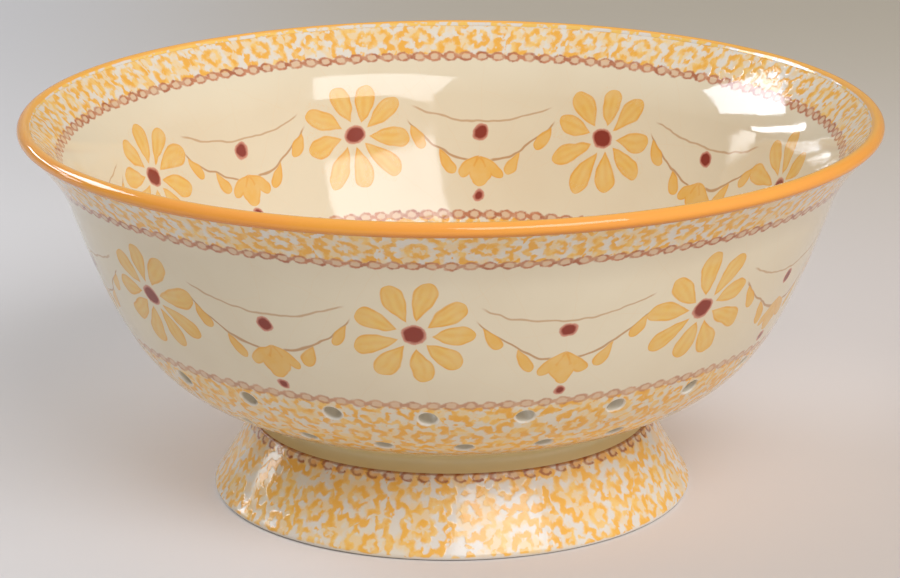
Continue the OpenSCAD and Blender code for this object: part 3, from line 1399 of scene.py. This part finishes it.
class FootFinish(GlazeFinish):
    """The foot's finish: sponged amber, a half chain along the top edge and a bare band over the base."""

    # Millimetres, but for the counts, the waves and how far each link opens.
    LINKS = 74.0
    LINK_RING = 1.45
    CHAIN_DOWN = 1.15
    OPEN = 3.0
    INNER_EDGE = (-2.6, -1.4)
    BARE_BASE = (0.9, 1.6)
    FACES_APART = 90.0
    EDGE_LINE = (0.75, 0.25)
    EDGE_COVER = 0.6
    WAVES = 2.4
    BOW = 0.0036
    CHAIN = ChainTones(Pigment.FOOT_CHAIN, Pigment.FOOT_CHAIN_PALE, Pigment.CHAIN_FILL, fill_share=0.5)

    def paint(self, top_radius: float, height: float, slope: float) -> bpy.types.Material:
        """Paints the foot.

        Args:
            top_radius: radius of the top edge, in millimetres.
            height: height of the foot, in millimetres.
            slope: steepness of its side, in radians.

        Returns:
            The material.
        """
        down = (-self.z + height) / math.sin(slope)
        outer = (self.radius - (down * math.cos(slope) + top_radius)).fade(*self.INNER_EDGE)
        colour = self.mottled(Pigment.BARE_WHITE.light, Pigment.CREAM, 0.7)
        printed = SPONGE.place(self, Place=self.unrolled(down + top_radius, self.FACES_APART))
        wander = self.sway(self.place, size=5.0, seed=58.0, reach=1.6)
        zone = (self.z + wander).fade(*self.BARE_BASE) * outer
        amount = self.wire(printed, "Amount") * zone
        colour = self.sponged(colour, printed, amount, zone, Pigment.FOOT_SPONGE)
        chain = CHAIN.place(
            self, Links=self.turn * (self.LINKS / TURN), Across=down - self.CHAIN_DOWN,
            Pitch=TURN * top_radius / self.LINKS, Ring=self.LINK_RING, Tie=0.0, Open=self.OPEN,
            Place=self.place,
        )
        colour = self.chained(colour, chain, outer, self.CHAIN)
        edge = (down + self.sway(self.place, size=2.5, seed=66.0, reach=1.1)).fade(*self.EDGE_LINE) * outer
        colour = self.blend(edge * self.EDGE_COVER, colour, Pigment.FOOT_CHAIN.light)
        bow = down - height / math.sin(slope) * 0.5
        return self.finish(colour, amount, self.WAVES, bow * bow * self.BOW * outer)


class LipFinish(GlazeFinish):
    """The lip's amber glaze: deeper on the downward-facing outside, partly glaze that ran down and partly
    painted shade, paler inside, and bare past an uneven line.
    """

    # Angles round the lip's rounding, in radians from level outside over the crest.
    RUN_DOWN_AND_SHADE = (0.1, -0.8)
    INNER_SIDE = (0.9, 1.7)
    BARE_LIMIT = 2.36
    BARE_SWING = 0.33
    BARE_EDGE = 0.08
    # Shares by which the deep amber, run glaze with painted shade, and the pale amber cover.
    DEEP_AND_SHADE_COVER = 0.8
    PALE_COVER = 0.4

    def paint(self, crest_radius: float, crest_height: float) -> bpy.types.Material:
        """Paints the bead.

        Args:
            crest_radius: radius of the middle of the lip's rounding, in millimetres.
            crest_height: its height, in millimetres.

        Returns:
            The material.
        """
        side, rise = self.radius - crest_radius, self.z - crest_height
        around = rise.math("ARCTAN2", side)
        # Deeper amber on the downward-facing underside: glaze that ran down, darkened further as painted
        # shade.
        deep = around.fade(*self.RUN_DOWN_AND_SHADE) * self.DEEP_AND_SHADE_COVER
        pale = around.fade(*self.INNER_SIDE) * self.PALE_COVER
        colour = self.blend(deep, Pigment.LIP_AMBER.light, Pigment.LIP_RUN_AND_SHADE.light)
        colour = self.blend(pale, colour, Pigment.SPONGE_LIGHT.light)
        colour = self.mottled(colour, Pigment.SPONGE_DEEP, 0.45)
        uneven = self.sway(self.place, size=9.0, seed=33.0, reach=0.35)
        limit = self.turn.math("COSINE") * self.BARE_SWING + self.BARE_LIMIT
        bare = (around + uneven - limit).fade(-self.BARE_EDGE, self.BARE_EDGE)
        print_mask = self.noise(self.place, size=3.4, seed=52.0).fade(0.44, 0.56)
        under = self.blend(print_mask, Pigment.BARE_WHITE.light, Pigment.SPONGE_LIGHT.light)
        return self.finish(self.blend(bare, colour, under), 0.0)


# Pieces

def curve(corners: Sequence[np.ndarray], shares: np.ndarray) -> tuple[np.ndarray, np.ndarray]:
    """Points on a smooth curve with four corners.

    Args:
        corners: where it starts, the two corners that pull it, and where it ends.
        shares: how far along each point lies, from zero to one.

    Returns:
        The points and the curve's slope at each.
    """
    a, b, c, d = corners
    t = shares[:, None]
    point = (1 - t) ** 3 * a + 3 * (1 - t) ** 2 * t * b + 3 * (1 - t) * t ** 2 * c + t ** 3 * d
    way = (1 - t) ** 2 * (b - a) + 2 * (1 - t) * t * (c - b) + t ** 2 * (d - c)
    return point, np.arctan2(way[:, 1], way[:, 0])


def run_of(points: np.ndarray) -> np.ndarray:
    """Length of a line of points, measured from its start to each of them."""
    return np.concatenate([[0.0], np.cumsum(np.linalg.norm(np.diff(points, axis=0), axis=1))])


def hold_edges(
    points: Sequence[np.ndarray], hold: float = 0.06 * MM, straight: float = -0.87
) -> np.ndarray:
    """Closes an outline, with points close to each side of sharp corners, so that each face shades alone.

    Args:
        points: the outline's corners in order.
        hold: how far from the corner the new points lie.
        straight: cosine of the angle between two edges, over which the corner counts as sharp.

    Returns:
        The closed outline.
    """
    held: list[np.ndarray] = []
    for here, point in enumerate(points):
        back, ahead = points[here - 1] - point, points[(here + 1) % len(points)] - point
        back, ahead = back / np.linalg.norm(back), ahead / np.linalg.norm(ahead)
        if float(back @ ahead) > straight:
            held += [point + back * hold, point, point + ahead * hold]
        else:
            held.append(point)
    return np.array(held + [held[0]])


@dataclass(frozen=True)
class DrainRow:
    """One row of drain holes: where it runs, how many holes it has and how they are spaced."""

    place: tuple[float, float]
    slope: float
    count: int
    first_turn: float = 0.0
    drift: float = 0.0

    def axes(self) -> tuple[np.ndarray, np.ndarray]:
        """Works out the row's bores.

        Returns:
            Where each bore's axis leaves the outside, and its direction.
        """
        even = self.first_turn + TURN * np.arange(self.count) / self.count
        turn = even - self.drift * np.sin(even)
        away = np.column_stack([np.sin(turn), -np.cos(turn), np.zeros(self.count)])
        up = np.array([0.0, 0.0, 1.0])
        start = away * self.place[0] + up * self.place[1]
        return start, -away * math.sin(self.slope) + up * math.cos(self.slope)


@dataclass
class Bowl:
    """The thrown bowl: dished floor, round belly, steep wall and flared lip, pierced over its lower half."""

    floor_edge: tuple[float, float] = (65.8 * MM, 30.85 * MM)
    floor_slope: float = math.radians(15.1)
    wall_top: tuple[float, float] = (124.5 * MM, 101.45 * MM)
    wall_slope: float = math.radians(71.0)
    wall_pull: tuple[float, float] = (0.357, 0.567)
    lip_middle: tuple[float, float] = (137.4 * MM, 123.7 * MM)
    lip_slope: float = math.radians(46.0)
    lip_pull: tuple[float, float] = (0.34, 0.34)
    wall: float = 5.5 * MM
    lip: float = 4.2 * MM
    hole_width: float = 5.4 * MM
    edge_round: float = 1.2 * MM
    upper_chain: tuple[float, float] = (110.75 * MM, 115.55 * MM)
    lower_chain: tuple[float, float] = (60.7 * MM, 63.3 * MM)
    # Each row of drain holes by its height or its radius, its number of holes and its first turn.
    wall_rows: tuple[tuple[float, int, float], ...] = (
        (55.25 * MM, 21, math.radians(-4.2)),
        (41.85 * MM, 22, math.radians(2.5)),
    )
    wall_drift: float = math.radians(2.5)
    under_row: tuple[float, int] = (74.8 * MM, 18)
    floor_rings: tuple[tuple[float, int], ...] = ((48.69 * MM, 12), (24.345 * MM, 6), (0.0, 1))
    # Stretches of the floor, the wall, the flare and the lip's rounding, and those that a place is sought on.
    steps: tuple[int, int, int, int] = (14, 46, 24, 12)
    search_steps: int = 4000
    # Millimetres past which it doesn't matter how far a hole is.
    farthest: float = 14.0

    def __post_init__(self) -> None:
        """Works out the bowl's two faces."""
        floor, wall, lip, _ = self.steps
        self.dish = self.floor_edge[0] / math.sin(self.floor_slope)
        dish_middle = self.floor_edge[1] + self.dish * math.cos(self.floor_slope)
        dished = np.linspace(0.0, self.floor_slope, floor + 1)
        dish = np.column_stack([self.dish * np.sin(dished), dish_middle - self.dish * np.cos(dished)])
        lip_edge = np.array(self.lip_middle) - self.lip / 2 * across(self.lip_slope)
        start, top = np.array(self.floor_edge), np.array(self.wall_top)
        self.wall_corners = self.corners(start, self.floor_slope, top, self.wall_slope, self.wall_pull)
        lip_corners = self.corners(top, self.wall_slope, lip_edge, self.lip_slope, self.lip_pull)
        wall_points, wall_slopes = curve(self.wall_corners, np.linspace(0.0, 1.0, wall + 1)[1:])
        lip_shares = np.linspace(0.0, 1.0, lip + 1)[1:]
        lip_points, lip_slopes = curve(lip_corners, lip_shares)
        self.outside = np.vstack([dish, wall_points, lip_points])
        slopes = np.concatenate([dished, wall_slopes, lip_slopes])
        thinned = self.wall + (self.lip - self.wall) * lip_shares
        thick = np.concatenate([np.full(floor + 1 + wall, self.wall), thinned])
        inward = np.stack([-np.sin(slopes), np.cos(slopes)], axis=-1)
        self.inside = self.outside + thick[:, None] * inward

    @staticmethod
    def corners(
        start: np.ndarray, start_slope: float, end: np.ndarray, end_slope: float, pull: tuple[float, float]
    ) -> list[np.ndarray]:
        """Corners of a smooth curve.

        Args:
            start: where it leaves.
            start_slope: its slope there.
            end: where it arrives.
            end_slope: its slope there.
            pull: pull of the two ends, as shares of the line between them.

        Returns:
            The four corners.
        """
        span = float(np.linalg.norm(end - start))
        leave, arrive = pull[0] * span * along(start_slope), pull[1] * span * along(end_slope)
        return [start, start + leave, end - arrive, end]

    def lip_arc(self, radius: float) -> np.ndarray:
        """Draws a half circle about the middle of the lip's rounding, from the outside to the inside.

        Args:
            radius: its radius.

        Returns:
            Its points.
        """
        angles = self.lip_slope - math.pi / 2 + np.linspace(0.0, math.pi, self.steps[3] + 1)
        return np.array([np.array(self.lip_middle) + radius * along(a) for a in angles])

    def section(self) -> Section:
        """Joins the outside from the pole up, the lip's rounding and the inside back to the pole.

        Returns:
            The outline that is turned.
        """
        arc = self.lip_arc(self.lip / 2)[1:-1]
        return Section(np.vstack([self.outside, arc, self.inside[::-1]]), closed=False)

    def wall_place(self, axis: int, value: float) -> tuple[tuple[float, float], float]:
        """The place on the wall's outside that has a given radius or height.

        Args:
            axis: zero for the radius, one for the height.
            value: the radius or the height.

        Returns:
            The place and the wall's slope there.
        """
        shares = np.linspace(0.0, 1.0, self.search_steps + 1)
        points, slopes = curve(self.wall_corners, shares)
        here = int(np.searchsorted(points[:, axis], value))
        return (float(points[here, 0]), float(points[here, 1])), float(slopes[here])

    def floor_place(self, radius: float) -> tuple[tuple[float, float], float]:
        """The place on the floor's underside at a radius.

        Args:
            radius: the radius.

        Returns:
            The place and the floor's slope there.
        """
        slope = math.asin(radius / self.dish)
        rise = self.dish * (math.cos(self.floor_slope) - math.cos(slope))
        return (radius, self.floor_edge[1] + rise), slope

    def rows(self) -> list[DrainRow]:
        """Lists the rows of drain holes, from the top down to the middle of the floor.

        Returns:
            The rows.
        """
        rows = [
            DrainRow(*self.wall_place(1, height), count, first, self.wall_drift)
            for height, count, first in self.wall_rows
        ]
        radius, count = self.under_row
        rows.append(DrainRow(*self.wall_place(0, radius), count))
        return rows + [DrainRow(*self.floor_place(radius), count) for radius, count in self.floor_rings]

    def band(self, heights: tuple[float, float]) -> Band:
        """Measures where a painted band runs.

        Args:
            heights: heights of its middle line outside and inside.

        Returns:
            The band.
        """
        outside = float(np.interp(heights[0], self.outside[:, 1], run_of(self.outside)))
        inside = float(np.interp(heights[1], self.inside[:, 1], run_of(self.inside)))
        return Band(outside * PER_MM, inside * PER_MM)

    def hole_reach(self) -> float:
        """Distance from a hole's middle to the end of its rounded edge, in millimetres."""
        return (self.hole_width / 2 + self.edge_round * (1.0 - math.cos(DrainRowTree.FLARE))) * PER_MM

    def mark(self, piece: TurnedPiece) -> None:
        """Stores on the mesh where each vertex lies on the surface and how far the nearest drain hole is.

        Args:
            piece: the finished bowl.
        """
        arc = self.steps[3] - 1
        out_run, in_run = run_of(self.outside), run_of(self.inside)
        over = np.linspace(0.0, 1.0, arc + 2)[1:-1]
        lip_run = out_run[-1] + (in_run[-1] - out_run[-1]) * over
        runs = np.concatenate([out_run, lip_run, in_run[::-1]]) * PER_MM
        inner = np.concatenate([np.zeros(len(out_run)), over, np.ones(len(in_run))])
        place = coordinates(piece.item.data)
        stretch, share, _ = piece.section.nearest(np.hypot(place[:, 0], place[:, 1]), place[:, 2])
        away = np.full(len(place), self.farthest)
        for row in self.rows():
            for start, way in zip(*row.axes()):
                off = place - start
                off -= (off @ way)[:, None] * way
                away = np.minimum(away, np.linalg.norm(off, axis=1) * PER_MM)
        found = {
            "run": between(runs, stretch, share),
            "inner": between(inner, stretch, share),
            "away": away,
        }
        for name, values in found.items():
            kept = piece.item.data.attributes.new(name, "FLOAT", "POINT")
            kept.data.foreach_set("value", values.astype(np.float32))

    def build(self) -> bpy.types.Object:
        """Turns the bowl, pierces it row by row and paints it.

        Returns:
            The piece.
        """
        finish = PaintedFinish("cream_glaze_painted", CLEAR_GLAZE)
        material = finish.paint(self.band(self.upper_chain), self.band(self.lower_chain), self.hole_reach())
        piece = TurnedPiece("bowl_body", self.section(), material)
        for row in self.rows():
            DRAIN_ROW.put_on(
                piece.item, Count=row.count, Distance=row.place[0], Height=row.place[1], Tilt=row.slope,
                First_Turn=row.first_turn, Drift=row.drift, Hole_Width=self.hole_width,
                Edge_Round=self.edge_round, Wall=self.wall, Glaze=material,
            )
        piece.convert()
        self.mark(piece)
        return piece.ride("cream_glaze", "bowl")


@dataclass
class Foot:
    """The hollow flared foot, open underneath, with a flat ring to stand on."""

    base_radius: float = 80.0 * MM
    top_radius: float = 65.8 * MM
    height: float = 24.3 * MM
    wall: float = 7.0 * MM
    top_round: float = 0.8 * MM
    base_round: float = 1.5 * MM
    inner_round: float = 1.0 * MM
    hollow: float = 1.8 * MM
    # Shares of the side's height: where it is hollow, and where its drawn points start and end, then their
    # number.
    hollow_ends: tuple[float, float] = (0.06, 0.96)
    side_ends: tuple[float, float] = (0.12, 0.9)
    side_points: int = 12

    def __post_init__(self) -> None:
        """Works out the steepness of the side and the bore."""
        self.slope = math.atan2(self.height, self.base_radius - self.top_radius)
        self.bore = self.top_radius - self.wall / math.sin(self.slope)

    def section(self) -> Section:
        """Draws the foot, up its slightly hollow outside and down the inside.

        Returns:
            The outline that is turned.
        """
        outer_top = np.array([self.top_radius, self.height])
        outer_base = np.array([self.base_radius, 0.0])
        inner_base = np.array([self.base_radius - self.wall / math.sin(self.slope), 0.0])
        inner_top = np.array([self.bore, self.height])
        inward = -across(self.slope)
        shares = np.linspace(*self.side_ends, self.side_points)
        depths = self.hollow * (shares - self.hollow_ends[0]) * (self.hollow_ends[1] - shares)
        side = [
            outer_base + (outer_top - outer_base) * share - inward * depth
            for share, depth in zip(shares, depths)
        ]
        points = (
            round_corner(inner_base, outer_base, outer_top, self.base_round) + side
            + round_corner(outer_base, outer_top, inner_top, self.top_round) + [inner_top]
            + round_corner(inner_top, inner_base, outer_base, self.inner_round)
        )
        return Section(hold_edges(points), closed=True)

    def build(self) -> bpy.types.Object:
        """Turns and paints the foot.

        Returns:
            The piece.
        """
        finish = FootFinish("foot_glaze_sponged", RIPPLED_GLAZE)
        material = finish.paint(self.top_radius * PER_MM, self.height * PER_MM, self.slope)
        piece = TurnedPiece("foot_ring", self.section(), material)
        piece.convert()
        return piece.ride("foot_glaze", "foot")


@dataclass
class LutingRing:
    """The collar of clay worked into the joint between bowl and foot, coved outside."""

    bowl: Bowl
    foot: Foot
    draw: float = 3.6 * MM
    cove_steps: int = 16
    top_steps: int = 4

    def section(self) -> Section:
        """Draws the collar, up the cove, in along the bowl's floor and down the bore.

        Returns:
            The outline that is turned.
        """
        start = np.array([self.foot.top_radius - self.foot.top_round, self.foot.height])
        end = np.array(self.bowl.floor_edge)
        waist = np.array([self.foot.top_radius - self.draw, (start[1] + end[1]) / 2])
        pinch = 2 * waist - (start + end) / 2
        cove = [
            (1 - t) ** 2 * start + 2 * (1 - t) * t * pinch + t * t * end
            for t in np.linspace(0.0, 1.0, self.cove_steps + 1)
        ]
        radii = np.linspace(end[0], self.foot.bore, self.top_steps + 1)[1:]
        top = [np.array(self.bowl.floor_place(radius)[0]) for radius in radii]
        return Section(hold_edges(cove + top + [np.array([self.foot.bore, self.foot.height])]), closed=True)

    def build(self) -> bpy.types.Object:
        """Turns and glazes the collar.

        Returns:
            The piece.
        """
        finish = NeckFinish("neck_glaze_plain", CLEAR_GLAZE)
        piece = TurnedPiece("neck_collar", self.section(), finish.paint())
        piece.convert()
        return piece.ride("neck_glaze", "luting_ring")


@dataclass
class RimGlaze:
    """The bead of thick amber glaze that wraps the lip and feathers out on both its faces."""

    bowl: Bowl
    thick: float = 0.5 * MM
    run: float = 0.6 * MM
    feather: float = 2.0 * MM
    end_steps: int = 4

    def section(self) -> Section:
        """Draws the bead: its proud face from the outside to the inside, then the clay's face back.

        Returns:
            The outline that is turned.
        """
        arc = self.bowl.lip_arc(self.bowl.lip / 2)
        out_way = self.bowl.outside[-2] - self.bowl.outside[-1]
        in_way = self.bowl.inside[-2] - self.bowl.inside[-1]
        out_end = self.bowl.outside[-1] + self.run * out_way / np.linalg.norm(out_way)
        in_end = self.bowl.inside[-1] + self.run * in_way / np.linalg.norm(in_way)
        points = self.end_steps + 1
        outer, inner = np.linspace(out_end, arc[0], points)[:-1], np.linspace(arc[-1], in_end, points)[1:]
        path = np.vstack([outer, arc, inner])
        done = run_of(path)
        to_end = np.minimum(done, done[-1] - done)
        share = np.minimum(to_end / self.feather, 1.0)
        swell = share * share * (3.0 - 2.0 * share)
        square = Section(path, closed=False).normals
        proud = path + square * (self.thick * swell)[:, None]
        return Section(np.vstack([proud, path[-2:0:-1], proud[:1]]), closed=True)

    def build(self) -> bpy.types.Object:
        """Turns and glazes the bead.

        Returns:
            The piece.
        """
        finish = LipFinish("amber_glaze_run", AMBER_GLAZE)
        middle = self.bowl.lip_middle
        piece = TurnedPiece("lip_bead", self.section(), finish.paint(middle[0] * PER_MM, middle[1] * PER_MM))
        piece.convert()
        return piece.ride("amber_glaze", "rim_glaze")


# Studio

@dataclass
class Sweep:
    """A wide sheet of pale paper that lies under the object and curves up behind it."""

    half_width: float = 3.0
    front: float = -2.2
    back: float = 1.6
    bend: float = 0.9
    rise: float = 2.2
    bend_steps: int = 24
    # Shares by which the paper is paler or darker here and there: faint clouds, painted light near the
    # object, and painted shade at the front and at the back, more so on the right.
    cloudiness: float = 0.05
    painted_light_near: float = 0.22
    painted_shade_front: float = 0.06
    painted_shade_back: float = 0.20
    painted_shade_corner: float = 0.11
    dullness: float = 0.9
    # Paper tints painted to stand in for the light: cooler on the left, warmer on the right and at the far
    # back.
    cool: str = "DFDDDD"
    warm: str = "D6CCC5"
    far: str = "DBD0BD"

    def build(self) -> bpy.types.Object:
        """Makes the sheet and its matt paper finish.

        Returns:
            The stage piece.
        """
        side = [(self.front, 0.0), (self.back, 0.0)]
        side += [
            (self.back + self.bend * math.sin(a), self.bend - self.bend * math.cos(a))
            for a in np.linspace(0.0, math.pi / 2, self.bend_steps + 1)[1:]
        ]
        side.append((self.back + self.bend, self.rise))
        corners = [(x, y, z) for y, z in side for x in (-self.half_width, self.half_width)]
        mesh = bpy.data.meshes.new("paper_sweep")
        faces = [(2 * i, 2 * i + 1, 2 * i + 3, 2 * i + 2) for i in range(len(side) - 1)]
        mesh.from_pydata(corners, [], faces)
        for polygon in mesh.polygons:
            polygon.use_smooth = True
        sheet = bpy.data.objects.new("paper_sweep", mesh)
        bpy.context.scene.collection.objects.link(sheet)
        mesh.materials.append(self.paper())
        return sheet

    def paper(self) -> bpy.types.Material:
        """Makes matt paper: faintly cloudy, with painted light and shade: cooler on the left, darker at the
        front and the back, paler near the object.

        Returns:
            The material.
        """
        material = bpy.data.materials.new("pale_paper")
        material.use_nodes = True
        bench = Bench(material.node_tree)
        shader = material.node_tree.nodes["Principled BSDF"]
        place = bench.wire(bench.node("ShaderNodeTexCoord"), "Object")
        x, y, _ = bench.parts(place)
        cloud = bench.noise(place, size=0.35, seed=3.0) * self.cloudiness + (1.0 - self.cloudiness / 2)
        # Painted light near the object, where its shadow falls, and painted shade at the front and the back.
        near = bench.length(x, y - 0.05).fade(0.20, 0.08) * self.painted_light_near + 1.0
        front = y.fade(0.0, -0.22) * self.painted_shade_front
        corner = x.fade(-0.30, 0.02) * self.painted_shade_corner + self.painted_shade_back
        shade = cloud * (near - front) * (-y.fade(0.16, 0.80) * corner + 1.0)
        # Tint painted for the light: cooler on the left, warmer on the right and at the far back.
        tint = bench.blend(x.fade(-0.28, 0.28), linear(self.cool), linear(self.warm))
        tint = bench.blend(y.fade(0.15, 0.75) * x.fade(-0.25, 0.05), tint, linear(self.far))
        scaled = bench.node("ShaderNodeVectorMath", operation="SCALE")
        bench.tree.links.new(tint.socket, scaled.inputs[0])
        bench.tree.links.new(shade.socket, scaled.inputs["Scale"])
        bench.feed(shader, Base_Color=bench.wire(scaled, 0), Roughness=self.dullness)
        return material


@dataclass(frozen=True)
class Softbox:
    """A soft lamp that looks at the middle of the object, or a card that only shines back from the glaze."""

    name: str
    turn: float
    elevation: float
    distance: float
    width: float
    height: float
    radiance: float
    tint: str
    sheen_only: bool = False

    AIM = Vector((0.0, 0.0, 0.075))

    def build(self) -> bpy.types.Object:
        """Hangs the lamp.

        Returns:
            The lamp.
        """
        light = bpy.data.lights.new(self.name, "AREA")
        light.shape = "RECTANGLE"
        light.size, light.size_y = self.width, self.height
        light.energy = self.radiance * math.pi * self.width * self.height
        light.color = linear(self.tint)[:3]
        lamp = bpy.data.objects.new(self.name, light)
        lamp.visible_diffuse = not self.sheen_only
        turn, up = math.radians(self.turn), math.radians(self.elevation)
        way = Vector((math.sin(turn) * math.cos(up), -math.cos(turn) * math.cos(up), math.sin(up)))
        lamp.location = self.AIM + way * self.distance
        lamp.rotation_euler = way.to_track_quat("Z", "Y").to_euler()
        bpy.context.scene.collection.objects.link(lamp)
        return lamp


@dataclass(frozen=True)
class Viewpoint:
    """The camera at the photograph's place."""

    place: tuple[float, float, float] = (0.0, -1.12485, 0.39835)
    down: float = math.radians(16.474)
    left: float = 0.00038
    roll: float = -0.004
    lens: float = 142.6
    sensor: float = 36.0

    def build(self) -> bpy.types.Object:
        """Sets the camera up.

        Returns:
            The camera.
        """
        data = bpy.data.cameras.new("viewpoint")
        data.lens = self.lens
        data.sensor_width = self.sensor
        camera = bpy.data.objects.new("viewpoint", data)
        camera.location = self.place
        aim = Euler((math.pi / 2 - self.down, 0.0, self.left), "XYZ").to_matrix()
        camera.rotation_euler = (aim @ Euler((0.0, 0.0, self.roll), "XYZ").to_matrix()).to_euler()
        bpy.context.scene.collection.objects.link(camera)
        bpy.context.scene.camera = camera
        return camera


@dataclass
class Studio:
    """The floor, the lamps, the soft light all round and the camera."""

    ambient: float = 0.178
    overhead: float = 0.62
    beside: float = 0.76
    beside_way: tuple[float, float] = (0.87, 0.50)
    ambient_colour: str = "F6F3EF"
    sweep: Sweep = field(default_factory=Sweep)
    view: Viewpoint = field(default_factory=Viewpoint)
    lamps: tuple[Softbox, ...] = (
        Softbox(
            "key_softbox", turn=27.0, elevation=41.6, distance=2.17, width=1.49, height=0.94, radiance=6.0,
            tint="F5F8FF",
        ),
        Softbox(
            "side_softbox", turn=-119.0, elevation=32.2, distance=2.0, width=1.0, height=0.58, radiance=6.1,
            tint="E6F0FF",
        ),
        Softbox(
            "side_sheen", turn=-119.0, elevation=32.2, distance=1.95, width=0.975, height=0.565, radiance=5.0,
            tint="E6F0FF", sheen_only=True,
        ),
        Softbox(
            "low_card", turn=-112.0, elevation=8.6, distance=2.0, width=0.40, height=0.26, radiance=6.5,
            tint="F4F4F4", sheen_only=True,
        ),
        Softbox(
            "lip_strip", turn=-131.0, elevation=16.0, distance=2.0, width=1.0, height=0.11, radiance=12.0,
            tint="F6F8FF", sheen_only=True,
        ),
    )

    def surround(self) -> bpy.types.World:
        """Soft light from all round, stronger from overhead and from the right.

        Returns:
            The world.
        """
        world = bpy.data.worlds.new("soft_surround")
        world.use_nodes = True
        bench = Bench(world.node_tree)
        light = world.node_tree.nodes["Background"]
        light.inputs["Color"].default_value = linear(self.ambient_colour)
        right, back, up = bench.parts(bench.wire(bench.node("ShaderNodeTexCoord"), "Generated"))
        high = up.most(0.0)
        side = (right * self.beside_way[0] - back * self.beside_way[1]).most(0.0)
        bench.feed(light, Strength=high * high * self.overhead + side * side * self.beside + self.ambient)
        return world

    def build(self) -> None:
        """Sets everything up."""
        scene = bpy.context.scene
        scene.view_settings.view_transform = "Standard"
        scene.world = self.surround()
        for made in (self.sweep.build(), self.view.build(), *(lamp.build() for lamp in self.lamps)):
            LOG.info("%s: in place", made.name)


def main() -> None:
    """Builds the studio and the colander."""
    logging.basicConfig(level=logging.INFO, format="%(message)s")
    Studio().build()
    bowl, foot = Bowl(), Foot()
    for part in (foot, LutingRing(bowl, foot), bowl, RimGlaze(bowl)):
        part.build()


if __name__ == "__main__":
    main()
